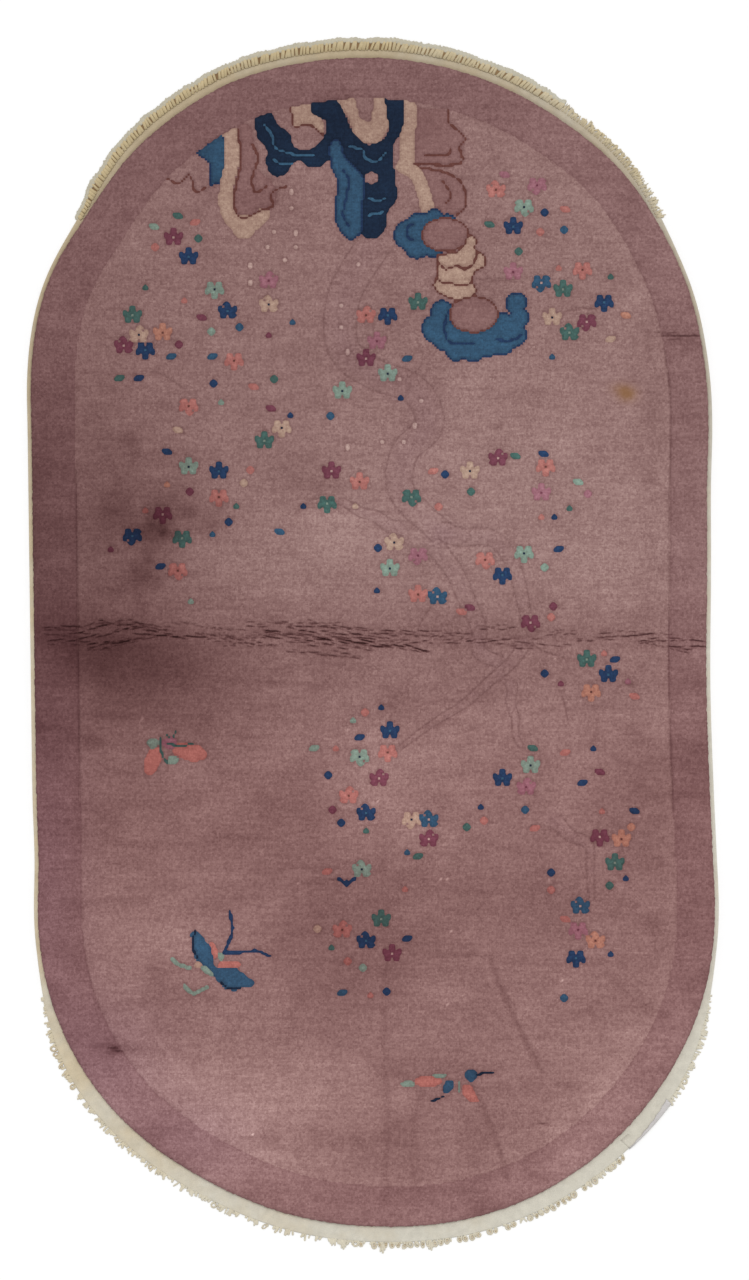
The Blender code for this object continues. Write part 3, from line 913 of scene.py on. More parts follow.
def rub_nap(draw):
    """Where the nap is rubbed: soft clouds, fine streaks along the weft, and dabs along the border."""
    for _ in range(320):
        x, y = draw.uniform(-58, 58), draw.uniform(-98, 98)
        lighter = draw.uniform(-0.045, 0.04) * (1.5 if y < -5 else 1.0)
        dab(tone, x, y, draw.uniform(2, 8), draw.uniform(1, 4.5), lighter, draw.uniform(-25, 25))
    for _ in range(420):
        x, y = draw.uniform(-58, 58), draw.uniform(-98, 98)
        lighter = draw.uniform(-0.06, 0.045) * (1.0 if y < 10 else 0.6)
        dab(tone, x, y, draw.uniform(2, 8), draw.uniform(0.25, 0.7), lighter, draw.uniform(-5, 3))
    for _ in range(160):
        x, y = draw.choice((-1, 1)) * draw.uniform(44, 60), draw.uniform(-92, 75)
        dab(tone, x, y, draw.uniform(1, 3), draw.uniform(0.8, 3), draw.uniform(-0.08, 0.06))
    for _ in range(120):
        x, y = draw.uniform(-46, 46), draw.uniform(-106, -84)
        dab(tone, x, y, draw.uniform(1, 4), draw.uniform(0.8, 3), draw.uniform(-0.08, 0.06))


def shade_nap():
    # The nap's painted light and shade first, then its soil smudges and random rubbing.
    for place in PAINTED_LIGHT_AND_WEAR_PATCHES:
        dab(tone, place["x"], place["y"], place["across"], place["along"], place["lighter"])
    draw = random.Random(8)
    smudge(draw)
    rub_nap(draw)


def stain_and_fade():
    """The small yellow stain at the right, and the border faded toward violet at the left."""
    dab(stain, 45, 43.5, 1.6, 1.3, 0.90)
    dab(stain, 43.6, 44.5, 1.6, 1.0, 0.35)
    dab(cool, -59, -40, 9, 34, 0.55)
    dab(cool, -48, -74, 12, 12, 0.55)
    dab(cool, -33, -88, 12, 8, 0.40)


WEAR_FROM, WEAR_TO = -100, -25  # bearings in degrees
WEAR_STEP, WEAR_REACH = 2.5, 3.6  # in cm
WEAR_LIGHTER = 0.030


def wear_border():
    """Lightens the border where it is trodden to the ground's own tone, at the lower right and foot."""
    middle = (PILE + BORDER) / 2 / CM
    bearings = np.degrees(np.arctan2(middle[:, 1], middle[:, 0]))
    last = np.zeros(2)
    for place, bearing in zip(middle, bearings):
        if WEAR_FROM < bearing < WEAR_TO and np.linalg.norm(place - last) > WEAR_STEP:
            fading = math.sin(math.radians((bearing - WEAR_FROM) * 2.4))
            dab(tone, *place, WEAR_REACH, WEAR_REACH, WEAR_LIGHTER * fading)
            last = place


def fleck(count=150):
    """Small dark bits and a few pale ones of lint and worn knots."""
    draw = random.Random(33)
    for i in range(count):
        x, y = draw.uniform(-0.55, 0.55), draw.uniform(-0.98, 0.98)
        if i % 4 == 0:
            y = -abs(y)
            dab(tone, x / CM, y / CM, 0.13, draw.uniform(0.1, 0.22), draw.uniform(0.25, 0.7))
        else:
            dab(tone, x / CM, y / CM, draw.uniform(0.12, 0.28), 0.12, draw.uniform(-0.28, -0.1))


def round_the_edge():
    """Lets the pile fall away at its outline, with a faint painted shade along it."""
    ring = np.vstack([PILE, PILE[:1]])
    press(ring, 0.0040, 0.0022, 0.0)
    press(ring, 0.0020, 0.0, 0.05)


carve_round_dyes()
carve_border()
carve_boughs()
for bend in SOFT_BENDS:
    press(rounded(bend["way"]) * CM, bend["wide"], bend["deep"], bend["dark"])
crease_fold()
shade_nap()
stain_and_fade()
wear_border()
fleck()
round_the_edge()


def read_grain(grid, x, y):
    """The value of a plan grid at each place, evenly between its cells."""
    u = np.clip((x - grain_x[0]) / GRAIN, 0, len(grain_x) - 1.001)
    v = np.clip((y - grain_y[0]) / GRAIN, 0, len(grain_y) - 1.001)
    i, j = u.astype(int), v.astype(int)
    u, v = u - i, v - j
    low = grid[j, i] * (1 - u) + grid[j, i + 1] * u
    high = grid[j + 1, i] * (1 - u) + grid[j + 1, i + 1] * u
    return low * (1 - v) + high * v


# ------------------------------------------------------------------ materials


def linear(colour):
    """A dye in sRGB steps as the shader's own colour, for the level that the lights give."""
    found = []
    for step in colour:
        share = step / 255
        value = share / 12.92 if share <= 0.04045 else ((share + 0.055) / 1.055) ** 2.4
        found.append(value / LIGHT_LEVEL)
    return (*found, 1.0)


class Nodes:
    """A node tree with short calls for adding and linking."""

    def __init__(self, tree):
        self.tree = tree

    def add(self, kind, **values):
        node = self.tree.nodes.new(kind)
        for name, value in values.items():
            setattr(node, name, value)
        return node

    def link(self, start, end):
        self.tree.links.new(start, end)

    def maths(self, operation, first, second=None):
        node = self.add("ShaderNodeMath", operation=operation)
        for socket, value in zip(node.inputs, (first, second)):
            if isinstance(value, (int, float)):
                socket.default_value = value
            elif value is not None:
                self.link(value, socket)
        return node.outputs[0]

    def noise(self, place, scale, detail=2.0, rough=0.5, stretch=None):
        if stretch:
            mapping = self.add("ShaderNodeMapping")
            mapping.inputs["Scale"].default_value = stretch
            self.link(place, mapping.inputs["Vector"])
            place = mapping.outputs["Vector"]
        node = self.add("ShaderNodeTexNoise")
        node.inputs["Scale"].default_value = scale
        node.inputs["Detail"].default_value = detail
        node.inputs["Roughness"].default_value = rough
        self.link(place, node.inputs["Vector"])
        return node.outputs["Fac"]

    def spread(self, value, low, high):
        """A noise value spread from low to high, clear of its rarely reached ends."""
        node = self.add("ShaderNodeMapRange")
        node.inputs["From Min"].default_value = 0.25
        node.inputs["From Max"].default_value = 0.75
        node.inputs["To Min"].default_value = low
        node.inputs["To Max"].default_value = high
        self.link(value, node.inputs["Value"])
        return node.outputs["Result"]

    def mix(self, factor, first, second):
        node = self.add("ShaderNodeMix", data_type="RGBA")
        colours = [s for s in node.inputs if s.type == "RGBA"]
        for socket, value in zip([node.inputs[0], *colours], (factor, first, second)):
            if isinstance(value, (int, float, tuple)):
                socket.default_value = value
            else:
                self.link(value, socket)
        return next(s for s in node.outputs if s.type == "RGBA")

    def scaled(self, colour, value):
        node = self.add("ShaderNodeVectorMath", operation="SCALE")
        self.link(colour, node.inputs[0])
        self.link(value, node.inputs["Scale"])
        return node.outputs[0]

    def times(self, colour, other):
        """A colour multiplied, channel by channel, by another or by three numbers."""
        node = self.add("ShaderNodeVectorMath", operation="MULTIPLY")
        self.link(colour, node.inputs[0])
        if isinstance(other, tuple):
            node.inputs[1].default_value = other
        else:
            self.link(other, node.inputs[1])
        return node.outputs[0]

    def attribute(self, name):
        return self.add("ShaderNodeAttribute", attribute_name=name).outputs["Fac"]

    def toward_foot(self, place):
        """0 over the head half, growing to 1 over the foot half."""
        parts = self.add("ShaderNodeSeparateXYZ")
        self.link(place, parts.inputs[0])
        node = self.add("ShaderNodeMapRange")
        node.inputs["From Min"].default_value = 0.15
        node.inputs["From Max"].default_value = -0.25
        self.link(parts.outputs["Y"], node.inputs["Value"])
        return node.outputs["Result"]

    def bump(self, height, distance, strength, normal=None):
        node = self.add("ShaderNodeBump")
        node.inputs["Distance"].default_value = distance
        node.inputs["Strength"].default_value = strength
        self.link(height, node.inputs["Height"])
        if normal is not None:
            self.link(normal, node.inputs["Normal"])
        return node.outputs["Normal"]


def new_group(name, sockets):
    """An empty node group with its named inputs and outputs."""
    group = bpy.data.node_groups.new(name, "ShaderNodeTree")
    for label, way, kind in sockets:
        group.interface.new_socket(label, in_out=way, socket_type=kind)
    nodes = Nodes(group)
    return group, nodes, nodes.add("NodeGroupInput"), nodes.add("NodeGroupOutput")


def tuft_cells(nodes, place):
    """A cell for each tuft, a little out of line as tied by hand."""
    tufts = nodes.add("ShaderNodeTexVoronoi", feature="F1")
    tufts.inputs["Scale"].default_value = 1 / KNOT
    tufts.inputs["Randomness"].default_value = 0.55
    nodes.link(place, tufts.inputs["Vector"])
    return tufts


def wool_level(nodes, place, tufts, speckle):
    """How light the wool is, about 1: weft rows, warp columns, bands, mottling and each tuft's own."""
    rows = nodes.noise(place, 1.0, 3.0, 0.65, (38, 240, 60))
    columns = nodes.noise(place, 1.0, 2.0, 0.6, (300, 60, 60))
    bands = nodes.noise(place, 1.0, 3.0, 0.6, (5, 70, 10))
    mottle = nodes.noise(place, 16.0, 5.0, 0.65)
    level = nodes.spread(rows, 0.86, 1.14)
    for part, least, most in ((columns, 0.93, 1.07), (bands, 0.92, 1.08),
                              (mottle, 0.90, 1.10), (speckle, 0.78, 1.22)):
        level = nodes.maths("MULTIPLY", level, nodes.spread(part, least, most))
    tuft_tint = nodes.add("ShaderNodeSeparateColor")
    nodes.link(tufts.outputs["Color"], tuft_tint.inputs["Color"])
    tint = nodes.maths("MULTIPLY", nodes.maths("SUBTRACT", tuft_tint.outputs[0], 0.5), 0.34)
    return nodes.maths("MULTIPLY", level, nodes.maths("ADD", tint, 1.0))


def dyed_wool(nodes, place, dye, level):
    """The dye at a level: wool that is soiled or in shade loses its red last, and the foot is redder."""
    depth = nodes.add("ShaderNodeCombineXYZ")
    for socket, power in zip(depth.inputs, (0.86, 1.09, 1.06)):
        nodes.link(nodes.maths("POWER", level, power), socket)
    colour = nodes.times(dye, depth.outputs[0])
    return nodes.mix(nodes.toward_foot(place), colour, nodes.times(colour, (1.03, 0.965, 0.97)))


def knotted_wool_group():
    """Tufts, fibres, weft rows and brushed nap over one dye, and the painted shade and light, soil and
    stain on the pile.
    """
    group, nodes, given, out = new_group("knotted wool", (
        ("Dye", "INPUT", "NodeSocketColor"),
        ("Unevenness", "INPUT", "NodeSocketFloat"),
        ("Colour", "OUTPUT", "NodeSocketColor"),
        ("Roughness", "OUTPUT", "NodeSocketFloat"),
        ("Normal", "OUTPUT", "NodeSocketVector"),
    ))
    place = nodes.add("ShaderNodeTexCoord").outputs["Object"]
    tufts = tuft_cells(nodes, place)
    speckle = nodes.noise(place, 420.0, 2.0, 0.7)
    fibres = nodes.noise(place, 2600.0, 2.0, 0.6)

    level = nodes.maths("SUBTRACT", wool_level(nodes, place, tufts, speckle), 1.0)
    level = nodes.maths("ADD", nodes.maths("MULTIPLY", level, given.outputs["Unevenness"]), 1.0)
    level = nodes.maths("MULTIPLY", level, nodes.attribute("shade"))
    colour = dyed_wool(nodes, place, given.outputs["Dye"], level)
    colour = nodes.mix(nodes.attribute("cool"), colour, nodes.times(colour, (0.97, 0.96, 1.12)))
    colour = nodes.mix(nodes.attribute("stain"), colour, linear(STAIN))
    nodes.link(colour, out.inputs["Colour"])
    nodes.link(nodes.spread(speckle, 0.82, 0.98), out.inputs["Roughness"])

    normal = nodes.bump(nodes.maths("SUBTRACT", 1.0, tufts.outputs["Distance"]), 0.0006, 0.55)
    normal = nodes.bump(speckle, 0.0005, 0.5, normal)
    normal = nodes.bump(fibres, 0.0002, 0.4, normal)
    nodes.link(normal, out.inputs["Normal"])
    return group


def spun_cotton_group():
    """Weave, twist and old grime on bare cotton, darker where the piece's attribute for soil and shade
    says: soil, and on the fringes painted shade where they meet the floor.
    """
    group, nodes, given, out = new_group("spun cotton", (
        ("Clean", "INPUT", "NodeSocketColor"),
        ("Aged", "INPUT", "NodeSocketColor"),
        ("Thread", "INPUT", "NodeSocketFloat"),
        ("Colour", "OUTPUT", "NodeSocketColor"),
        ("Normal", "OUTPUT", "NodeSocketVector"),
    ))
    place = nodes.add("ShaderNodeTexCoord").outputs["Object"]
    parts = nodes.add("ShaderNodeSeparateXYZ")
    nodes.link(place, parts.inputs[0])
    yellower = nodes.maths("ADD", nodes.maths("MULTIPLY", parts.outputs["X"], -0.7),
                           nodes.maths("MULTIPLY", parts.outputs["Y"], 0.35))
    ageing = nodes.maths("ADD", nodes.spread(nodes.noise(place, 9.0, 4.0, 0.65), 0.0, 0.9), yellower)
    clamped = nodes.add("ShaderNodeClamp")
    nodes.link(ageing, clamped.inputs["Value"])
    colour = nodes.mix(clamped.outputs["Result"], given.outputs["Clean"], given.outputs["Aged"])
    patches = nodes.spread(nodes.noise(place, 70.0, 3.0, 0.6), 0.90, 1.08)
    grain = nodes.spread(nodes.noise(place, 700.0, 2.0, 0.6), 0.88, 1.10)
    colour = nodes.scaled(colour, nodes.maths("MULTIPLY", patches, grain))
    colour = nodes.mix(nodes.attribute("soil_and_shade"), colour, linear(SOIL_AND_SHADE_BROWN))
    nodes.link(colour, out.inputs["Colour"])

    weave = nodes.add("ShaderNodeTexVoronoi", feature="F1")
    weave.inputs["Randomness"].default_value = 0.25
    nodes.link(given.outputs["Thread"], weave.inputs["Scale"])
    nodes.link(place, weave.inputs["Vector"])
    normal = nodes.bump(nodes.maths("SUBTRACT", 1.0, weave.outputs["Distance"]), 0.0004, 0.5)
    normal = nodes.bump(nodes.noise(place, 2400.0, 2.0, 0.6), 0.0002, 0.4, normal)
    nodes.link(normal, out.inputs["Normal"])
    return group


def new_material(name, group, values, outputs, **settings):
    """A material whose shader is fed by one node group, with its plain settings on the shader itself."""
    material = bpy.data.materials.new(name)
    material.use_nodes = True
    nodes = Nodes(material.node_tree)
    shader = next(n for n in material.node_tree.nodes if n.type == "BSDF_PRINCIPLED")
    for label, value in settings.items():
        shader.inputs[label.replace("_", " ")].default_value = value
    effect = nodes.add("ShaderNodeGroup", node_tree=group)
    for label, value in values.items():
        effect.inputs[label].default_value = value
    for label, socket in outputs.items():
        nodes.link(effect.outputs[label], shader.inputs[socket])
    return material


def wool_materials():
    """One material for each dye lot."""
    group = knotted_wool_group()
    outputs = {"Colour": "Base Color", "Roughness": "Roughness", "Normal": "Normal"}
    found = []
    for name, colour in DYES.items():
        values = {"Dye": linear(colour), "Unevenness": 1.0 if name.startswith("plum_") else 0.8}
        found.append(new_material(name + "_wool", group, values, outputs, Specular_IOR_Level=0.05,
                                  Sheen_Weight=0.03, Sheen_Roughness=0.6))
    return found


COTTON = spun_cotton_group()


def cotton_material(name, clean, aged, thread):
    values = {"Clean": linear(clean), "Aged": linear(aged), "Thread": thread}
    outputs = {"Colour": "Base Color", "Normal": "Normal"}
    return new_material(name, COTTON, values, outputs, Roughness=0.9, Specular_IOR_Level=0.15)


# ------------------------------------------------------------------ modelling helpers


def deselect():
    bpy.ops.object.select_all(action="DESELECT")


def make_active(piece):
    deselect()
    piece.select_set(True)
    bpy.context.view_layer.objects.active = piece


def editing(piece, kind):
    """Goes into edit mode on one piece, choosing vertices, edges or faces."""
    make_active(piece)
    bpy.context.tool_settings.mesh_select_mode = tuple(kind == k for k in ("VERT", "EDGE", "FACE"))
    bpy.ops.object.mode_set(mode="EDIT")


def done_editing():
    bpy.ops.object.mode_set(mode="OBJECT")


def choose_faces(mesh, chosen):
    mesh.vertices.foreach_set("select", np.zeros(len(mesh.vertices), bool))
    mesh.edges.foreach_set("select", np.zeros(len(mesh.edges), bool))
    mesh.polygons.foreach_set("select", np.array(chosen, bool))


def face_centres(mesh):
    found = np.empty(len(mesh.polygons) * 3)
    mesh.polygons.foreach_get("center", found)
    return found.reshape(-1, 3)


def places_of(mesh):
    found = np.empty(len(mesh.vertices) * 3)
    mesh.vertices.foreach_get("co", found)
    return found.reshape(-1, 3)


def set_places(mesh, places):
    mesh.vertices.foreach_set("co", np.asarray(places, float).ravel())
    mesh.update()


def keep_values(mesh, name, values):
    layer = mesh.attributes.new(name, "FLOAT", "POINT")
    layer.data.foreach_set("value", np.asarray(values, np.float32))


def joined(pieces, name):
    deselect()
    for piece in pieces:
        piece.select_set(True)
    bpy.context.view_layer.objects.active = pieces[0]
    bpy.ops.object.join()
    pieces[0].name = pieces[0].data.name = name
    return pieces[0]


def copy_of(piece):
    """A copy with a mesh of its own."""
    twin = piece.copy()
    twin.data = piece.data.copy()
    bpy.context.collection.objects.link(twin)
    return twin


# ------------------------------------------------------------------ pile

CREST = PILE_TOP - 0.0006
TUFT_JITTER = 0.00014
FOLD_Y, FOLD_BAND = 0.001, 0.040  # the cracked band between the two halves of the field


def ease_steps(x, y):
    """Draws the stepped line between two dyes into a softer one, as the splayed tufts do."""
    across = np.zeros((ROWS + 1, COLUMNS), bool)
    along = np.zeros((ROWS, COLUMNS + 1), bool)
    across[1:-1] = chart[1:] != chart[:-1]
    along[:, 1:-1] = chart[:, 1:] != chart[:, :-1]

    def neighbours(grid):
        total = np.zeros(grid.shape)
        total[:, :-1] += across * grid[:, 1:]
        total[:, 1:] += across * grid[:, :-1]
        total[:-1] += along * grid[1:]
        total[1:] += along * grid[:-1]
        return total

    lone = across[1:, :] & across[:-1, :] & along[:, 1:] & along[:, :-1]
    dotted = np.zeros(x.shape, bool)
    for down, left in ((0, 0), (0, 1), (1, 0), (1, 1)):
        dotted[down:ROWS + down, left:COLUMNS + left] |= lone
    on_line = (neighbours(np.ones(x.shape)) == 2) & ~dotted
    return [np.where(on_line, (grid + neighbours(grid) / 2) / 2, grid) for grid in (x, y)]


def knot_grid(name):
    """One face for each knot on the pile, each with its dye's material."""
    bpy.ops.mesh.primitive_grid_add(x_subdivisions=COLUMNS, y_subdivisions=ROWS, size=1)
    piece = bpy.context.object
    piece.name = piece.data.name = name
    set_places(piece.data, places_of(piece.data) * (COLUMNS * KNOT, ROWS * KNOT, 1))
    centres = face_centres(piece.data)
    columns = np.round((centres[:, 0] - knot_x[0]) / KNOT).astype(int)
    rows = np.round((centres[:, 1] - knot_y[0]) / KNOT).astype(int)
    for material in WOOL:
        piece.data.materials.append(material)
    piece.data.polygons.foreach_set("material_index", chart[rows, columns])
    choose_faces(piece.data, ~ON_PILE[rows, columns])
    places = places_of(piece.data)
    order = np.lexsort((places[:, 0].round(5), places[:, 1].round(5)))
    grids = (places[order, k].reshape(ROWS + 1, COLUMNS + 1) for k in (0, 1))
    places[order, :2] = np.stack([grid.ravel() for grid in ease_steps(*grids)], 1)
    set_places(piece.data, places)
    editing(piece, "FACE")
    bpy.ops.mesh.delete(type="FACE")
    done_editing()
    return piece


def refine(piece, chosen):
    """Cuts each chosen face into four."""
    choose_faces(piece.data, chosen)
    editing(piece, "FACE")
    bpy.ops.mesh.subdivide(number_cuts=1, quadcorner="INNERVERT")
    done_editing()


CARVED_DARK, CRACKED_DARK = 0.085, 0.12  # how much painted shade a groove has whose faces are made finer
WHOLE_RUG = 2.0
NEAR = (-0.0015, 0, 0.0015)  # how far round a face's middle a groove is looked for


def refine_where_carved(piece):
    """Finer faces along the carving, and finer still at the cracks."""
    for least_dark, within in ((CARVED_DARK, WHOLE_RUG), (CRACKED_DARK, FOLD_BAND)):
        x, y = face_centres(piece.data)[:, :2].T
        near = np.maximum.reduce([read_grain(shadow, x + dx, y + dy) for dx in NEAR for dy in NEAR])
        refine(piece, (near > least_dark) & (np.abs(y - FOLD_Y) < within))


def rim_vertices(piece):
    """Selects the open edge of a piece and says which vertices are on it."""
    editing(piece, "VERT")
    bpy.ops.mesh.select_all(action="DESELECT")
    bpy.ops.mesh.select_non_manifold(extend=False, use_wire=False, use_boundary=True,
                                     use_multi_face=False, use_non_contiguous=False, use_verts=False)
    done_editing()
    chosen = np.empty(len(piece.data.vertices), bool)
    piece.data.vertices.foreach_get("select", chosen)
    return np.flatnonzero(chosen)


def trim_to_outline(piece):
    """Draws the stepped edge of the knot grid onto the rug's outline, a little ragged."""
    rim = rim_vertices(piece)
    places = places_of(piece.data)
    ring, following = PILE, np.roll(PILE, -1, 0)
    ragged = np.random.default_rng(3).normal(0, 0.0004, len(rim))
    for number, vertex in enumerate(rim):
        at = places[vertex, :2]
        along = following - ring
        share = ((at - ring) * along).sum(1) / (along * along).sum(1)
        foot = ring + along * np.clip(share, 0, 1)[:, None]
        nearest = np.argmin(((foot - at) ** 2).sum(1))
        out = np.array((along[nearest, 1], -along[nearest, 0])) / np.linalg.norm(along[nearest])
        places[vertex, :2] = foot[nearest] + out * ragged[number]
    set_places(piece.data, places)


def clip_surface(piece):
    """Sets the height of every tuft, and what the wool's material reads at it: painted shade and light
    with the nap's soil and wear, the stain and the cooler wool.
    """
    places = places_of(piece.data)
    x, y = places[:, 0], places[:, 1]
    draw = np.random.default_rng(11)
    bowed = 0.0003 * np.sin(x * 9 + 1.3 * y * 4) + 0.00025 * np.sin(y * 13 - x * 5)
    places[:, 2] = CREST + bowed - read_grain(hollow, x, y) + draw.normal(0, TUFT_JITTER, len(x))
    set_places(piece.data, places)
    darker = np.clip(1 - read_grain(shadow, x, y), 0.2, 1)
    lighter = 1 + read_grain(tone, x, y)
    keep_values(piece.data, "shade", (darker * np.clip(lighter, 0.35, 1.6)) ** 2.2)
    keep_values(piece.data, "stain", np.clip(read_grain(stain, x, y), 0, 0.8))
    keep_values(piece.data, "cool", np.clip(read_grain(cool, x, y), 0, 1))


def drop_pile_wall(piece):
    """The cut side of the pile, swelling a little before it meets the web."""
    rim_vertices(piece)
    editing(piece, "EDGE")
    bpy.ops.mesh.extrude_edges_move(TRANSFORM_OT_translate={"value": (0, 0, -0.0030)})
    bpy.ops.transform.resize(value=(1.0013, 1.0008, 1), center_override=(0, 0, 0))
    bpy.ops.mesh.extrude_edges_move(TRANSFORM_OT_translate={"value": (0, 0, -0.0035)})
    bpy.ops.transform.resize(value=(0.9994, 0.9996, 0), center_override=(0, 0, FOUNDATION - 0.0002))
    done_editing()


def split_off(piece, chosen, name):
    choose_faces(piece.data, chosen)
    editing(piece, "FACE")
    bpy.ops.mesh.separate(type="SELECTED")
    done_editing()
    part = next(o for o in bpy.context.selected_objects if o != piece)
    part.name = part.data.name = name
    return part


def smooth(piece):
    make_active(piece)
    bpy.ops.object.shade_smooth()
    bpy.ops.object.material_slot_remove_unused()


def make_pile():
    """Knots, carves and edges the pile as one, then parts it into the border, the fold and two fields."""
    ground = knot_grid("pile_field_foot")
    refine_where_carved(ground)
    trim_to_outline(ground)
    clip_surface(ground)
    drop_pile_wall(ground)
    dyes = np.empty(len(ground.data.polygons), int)
    ground.data.polygons.foreach_get("material_index", dyes)
    border = split_off(ground, dyes == DYE["plum_border"], "pile_border")
    fold = split_off(ground, np.abs(face_centres(ground.data)[:, 1] - FOLD_Y) < FOLD_BAND, "pile_fold")
    head = split_off(ground, face_centres(ground.data)[:, 1] > FOLD_Y, "pile_field_head")
    for piece in (border, fold, head, ground):
        smooth(piece)
    return border, fold, head, ground


# ------------------------------------------------------------------ web

WEB_RINGS = (0.0012, 0.0025, 0.0040, 0.0055, 0.0070, 0.0080)  # from the web's edge inward
DARKENED_STRIP = 0.0035  # how far out from the pile the web is drawn darker
TURNED_UP = {"tip": (52.8, -81.5), "end": (45.5, -89.5), "wide": 0.012, "narrow": 0.001}


def lies_in_turn(x, y):
    """Whether a place on the web's edge, in metres, is where that edge is folded back."""
    (_, tip), (_, end) = TURNED_UP["tip"], TURNED_UP["end"]
    return x > 0 and (end - 0.5) * CM < y < (tip + 0.5) * CM


def web_face():
    """The web's outline as one face, inset in narrow rings so that its edge can be rounded."""
    bpy.ops.mesh.primitive_circle_add(vertices=len(WEB), radius=1, fill_type="NGON")
    web = bpy.context.object
    web.name = web.data.name = "foundation"
    set_places(web.data, np.column_stack([WEB, np.full(len(WEB), FOUNDATION)]))
    editing(web, "FACE")
    bpy.ops.mesh.select_all(action="SELECT")
    bpy.ops.mesh.normals_make_consistent(inside=False)
    for width in WEB_RINGS:
        bpy.ops.mesh.inset(thickness=width, depth=0, use_even_offset=True)
    done_editing()
    return web


def wave_and_thicken(web):
    """Waves the web's top a little, rounds its edge down and closes it underneath."""
    places = places_of(web.data)
    edge = np.zeros(len(places), bool)
    edge[:len(WEB)] = True
    x, y = places[:, 0], places[:, 1]
    wave = 0.00025 * np.sin(x * 61 + y * 47) + 0.0002 * np.sin(x * 137 - y * 109)
    places[:, 2] = FOUNDATION - 0.0003 + wave
    places[edge, 2] = FOUNDATION - 0.0012
    set_places(web.data, places)
    editing(web, "FACE")
    bpy.ops.mesh.select_all(action="SELECT")
    bpy.ops.mesh.extrude_region_move(TRANSFORM_OT_translate={"value": (0, 0, -0.001)})
    bpy.ops.transform.resize(value=(1, 1, 0), center_override=(0, 0, 0.0004))
    bpy.ops.mesh.select_all(action="SELECT")
    bpy.ops.mesh.normals_make_consistent(inside=False)
    done_editing()


def make_foundation():
    """The bare cotton web: a thin slab under all the pile, showing as a waved band round it."""
    web = web_face()
    wave_and_thicken(web)
    web.data.materials.append(cotton_material("web_cotton", (207, 202, 188), (202, 186, 156), 620.0))
    places = places_of(web.data)
    # darker in a strip next to the pile, and soiled more toward the head
    near_pile = 1 - np.clip(distance_to(PILE, places) / DARKENED_STRIP, 0, 1)
    toward_head = np.clip(places[:, 1] / 0.5, 0, 1)
    keep_values(web.data, "soil_and_shade", (0.08 + 0.30 * toward_head) * near_pile + 0.26 * toward_head)
    smooth(web)
    return web


def distance_to(ring, places):
    """How far each place is from a closed outline."""
    least = np.full(len(places), 1.0)
    for a, b in zip(ring, np.roll(ring, -1, 0)):
        least = np.minimum(least, gap_to(a, b, places[:, 0], places[:, 1]))
    return least


# The turned edge from under the web, out to its fold and back over: how far from the fold, how high,
# and how far again for each metre that the turned part is wide.
TURN_ROWS = (
    {"out": -0.022, "up": 0.0019, "with_width": 0},
    {"out": -0.012, "up": 0.0023, "with_width": 0},
    {"out": -0.002, "up": 0.0024, "with_width": 0},
    {"out": 0.0000, "up": 0.0029, "with_width": 0},
    {"out": 0.0001, "up": 0.0040, "with_width": 0},
    {"out": -0.0012, "up": 0.0048, "with_width": 0},
    {"out": 0.0000, "up": 0.0047, "with_width": -0.45},
    {"out": 0.0000, "up": 0.0043, "with_width": -0.80},
    {"out": 0.0000, "up": 0.0038, "with_width": -1.00},
)
UNDERSIDE_FROM = 4


TURN_STEPS, TURN_THICKNESS = 28, 0.0011


def turned_place(share, row):
    """A place on the turned edge: its share of the way along the fold, and its row across it."""
    tip, end = (np.array(TURNED_UP[k]) * CM for k in ("tip", "end"))
    along = end - tip
    outward = np.array((along[1], -along[0])) / np.linalg.norm(along)
    if outward @ tip < 0:
        outward = -outward
    width = TURNED_UP["wide"] + (TURNED_UP["narrow"] - TURNED_UP["wide"]) * share ** 0.7
    ragged = 0.0007 * math.sin(share * 37) * -row["with_width"]
    out = row["out"] + row["with_width"] * width + ragged + 0.003 * math.sin(math.pi * share) ** 0.8
    return (*(tip + along * share + outward * out), row["up"])


def make_turned_edge():
    """The stretch of web at the lower right that has folded back over itself, its underside up."""
    rows = len(TURN_ROWS) - 1
    bpy.ops.mesh.primitive_grid_add(x_subdivisions=TURN_STEPS, y_subdivisions=rows, size=1)
    flap = bpy.context.object
    flap.name = flap.data.name = "turned_edge"
    flap.data.materials.append(bpy.data.materials["web_cotton"])
    flap.data.materials.append(cotton_material("web_underside", (202, 198, 196), (190, 185, 182), 620.0))
    under = (face_centres(flap.data)[:, 1] + 0.5) * rows > UNDERSIDE_FROM
    flap.data.polygons.foreach_set("material_index", under.astype(int))
    places = places_of(flap.data)
    for vertex in places:
        vertex[:] = turned_place(vertex[0] + 0.5, TURN_ROWS[round((vertex[1] + 0.5) * rows)])
    set_places(flap.data, places)
    make_active(flap)
    thick = flap.modifiers.new("thickness", "SOLIDIFY")
    thick.thickness = TURN_THICKNESS
    thick.offset = 0
    bpy.ops.object.modifier_apply(modifier=thick.name)
    keep_values(flap.data, "soil_and_shade", np.full(len(flap.data.vertices), 0.02))
    smooth(flap)
    return flap


# ------------------------------------------------------------------ warp ends

HEAD_PITCH, FOOT_PITCH, FINE_PITCH = 0.0066, 0.0108, 0.004
BUNDLE_START, BUNDLE_LONG = 0.0072, 0.0114  # how far in from the web's edge it starts, and its length
BARE_GAPS = 0.10  # the share of places along the foot whose warps are gone


def stations(pitch, head):
    """Even places along the web's edge at one end of the rug, with the way out at each."""
    ring = np.vstack([WEB, WEB[:1]])
    out = outward_of(WEB)
    out = np.vstack([out, out[:1]])
    run = np.concatenate([[0], np.cumsum(np.linalg.norm(np.diff(ring, axis=0), axis=1))])
    for at in np.arange(0, run[-1], pitch):
        place = np.array([np.interp(at, run, ring[:, k]) for k in (0, 1)])
        way = np.array([np.interp(at, run, out[:, k]) for k in (0, 1)])
        if (place[1] > 0) == head and end_share(place[1]) > FRINGE_SHARE:
            yield place, way / np.linalg.norm(way)


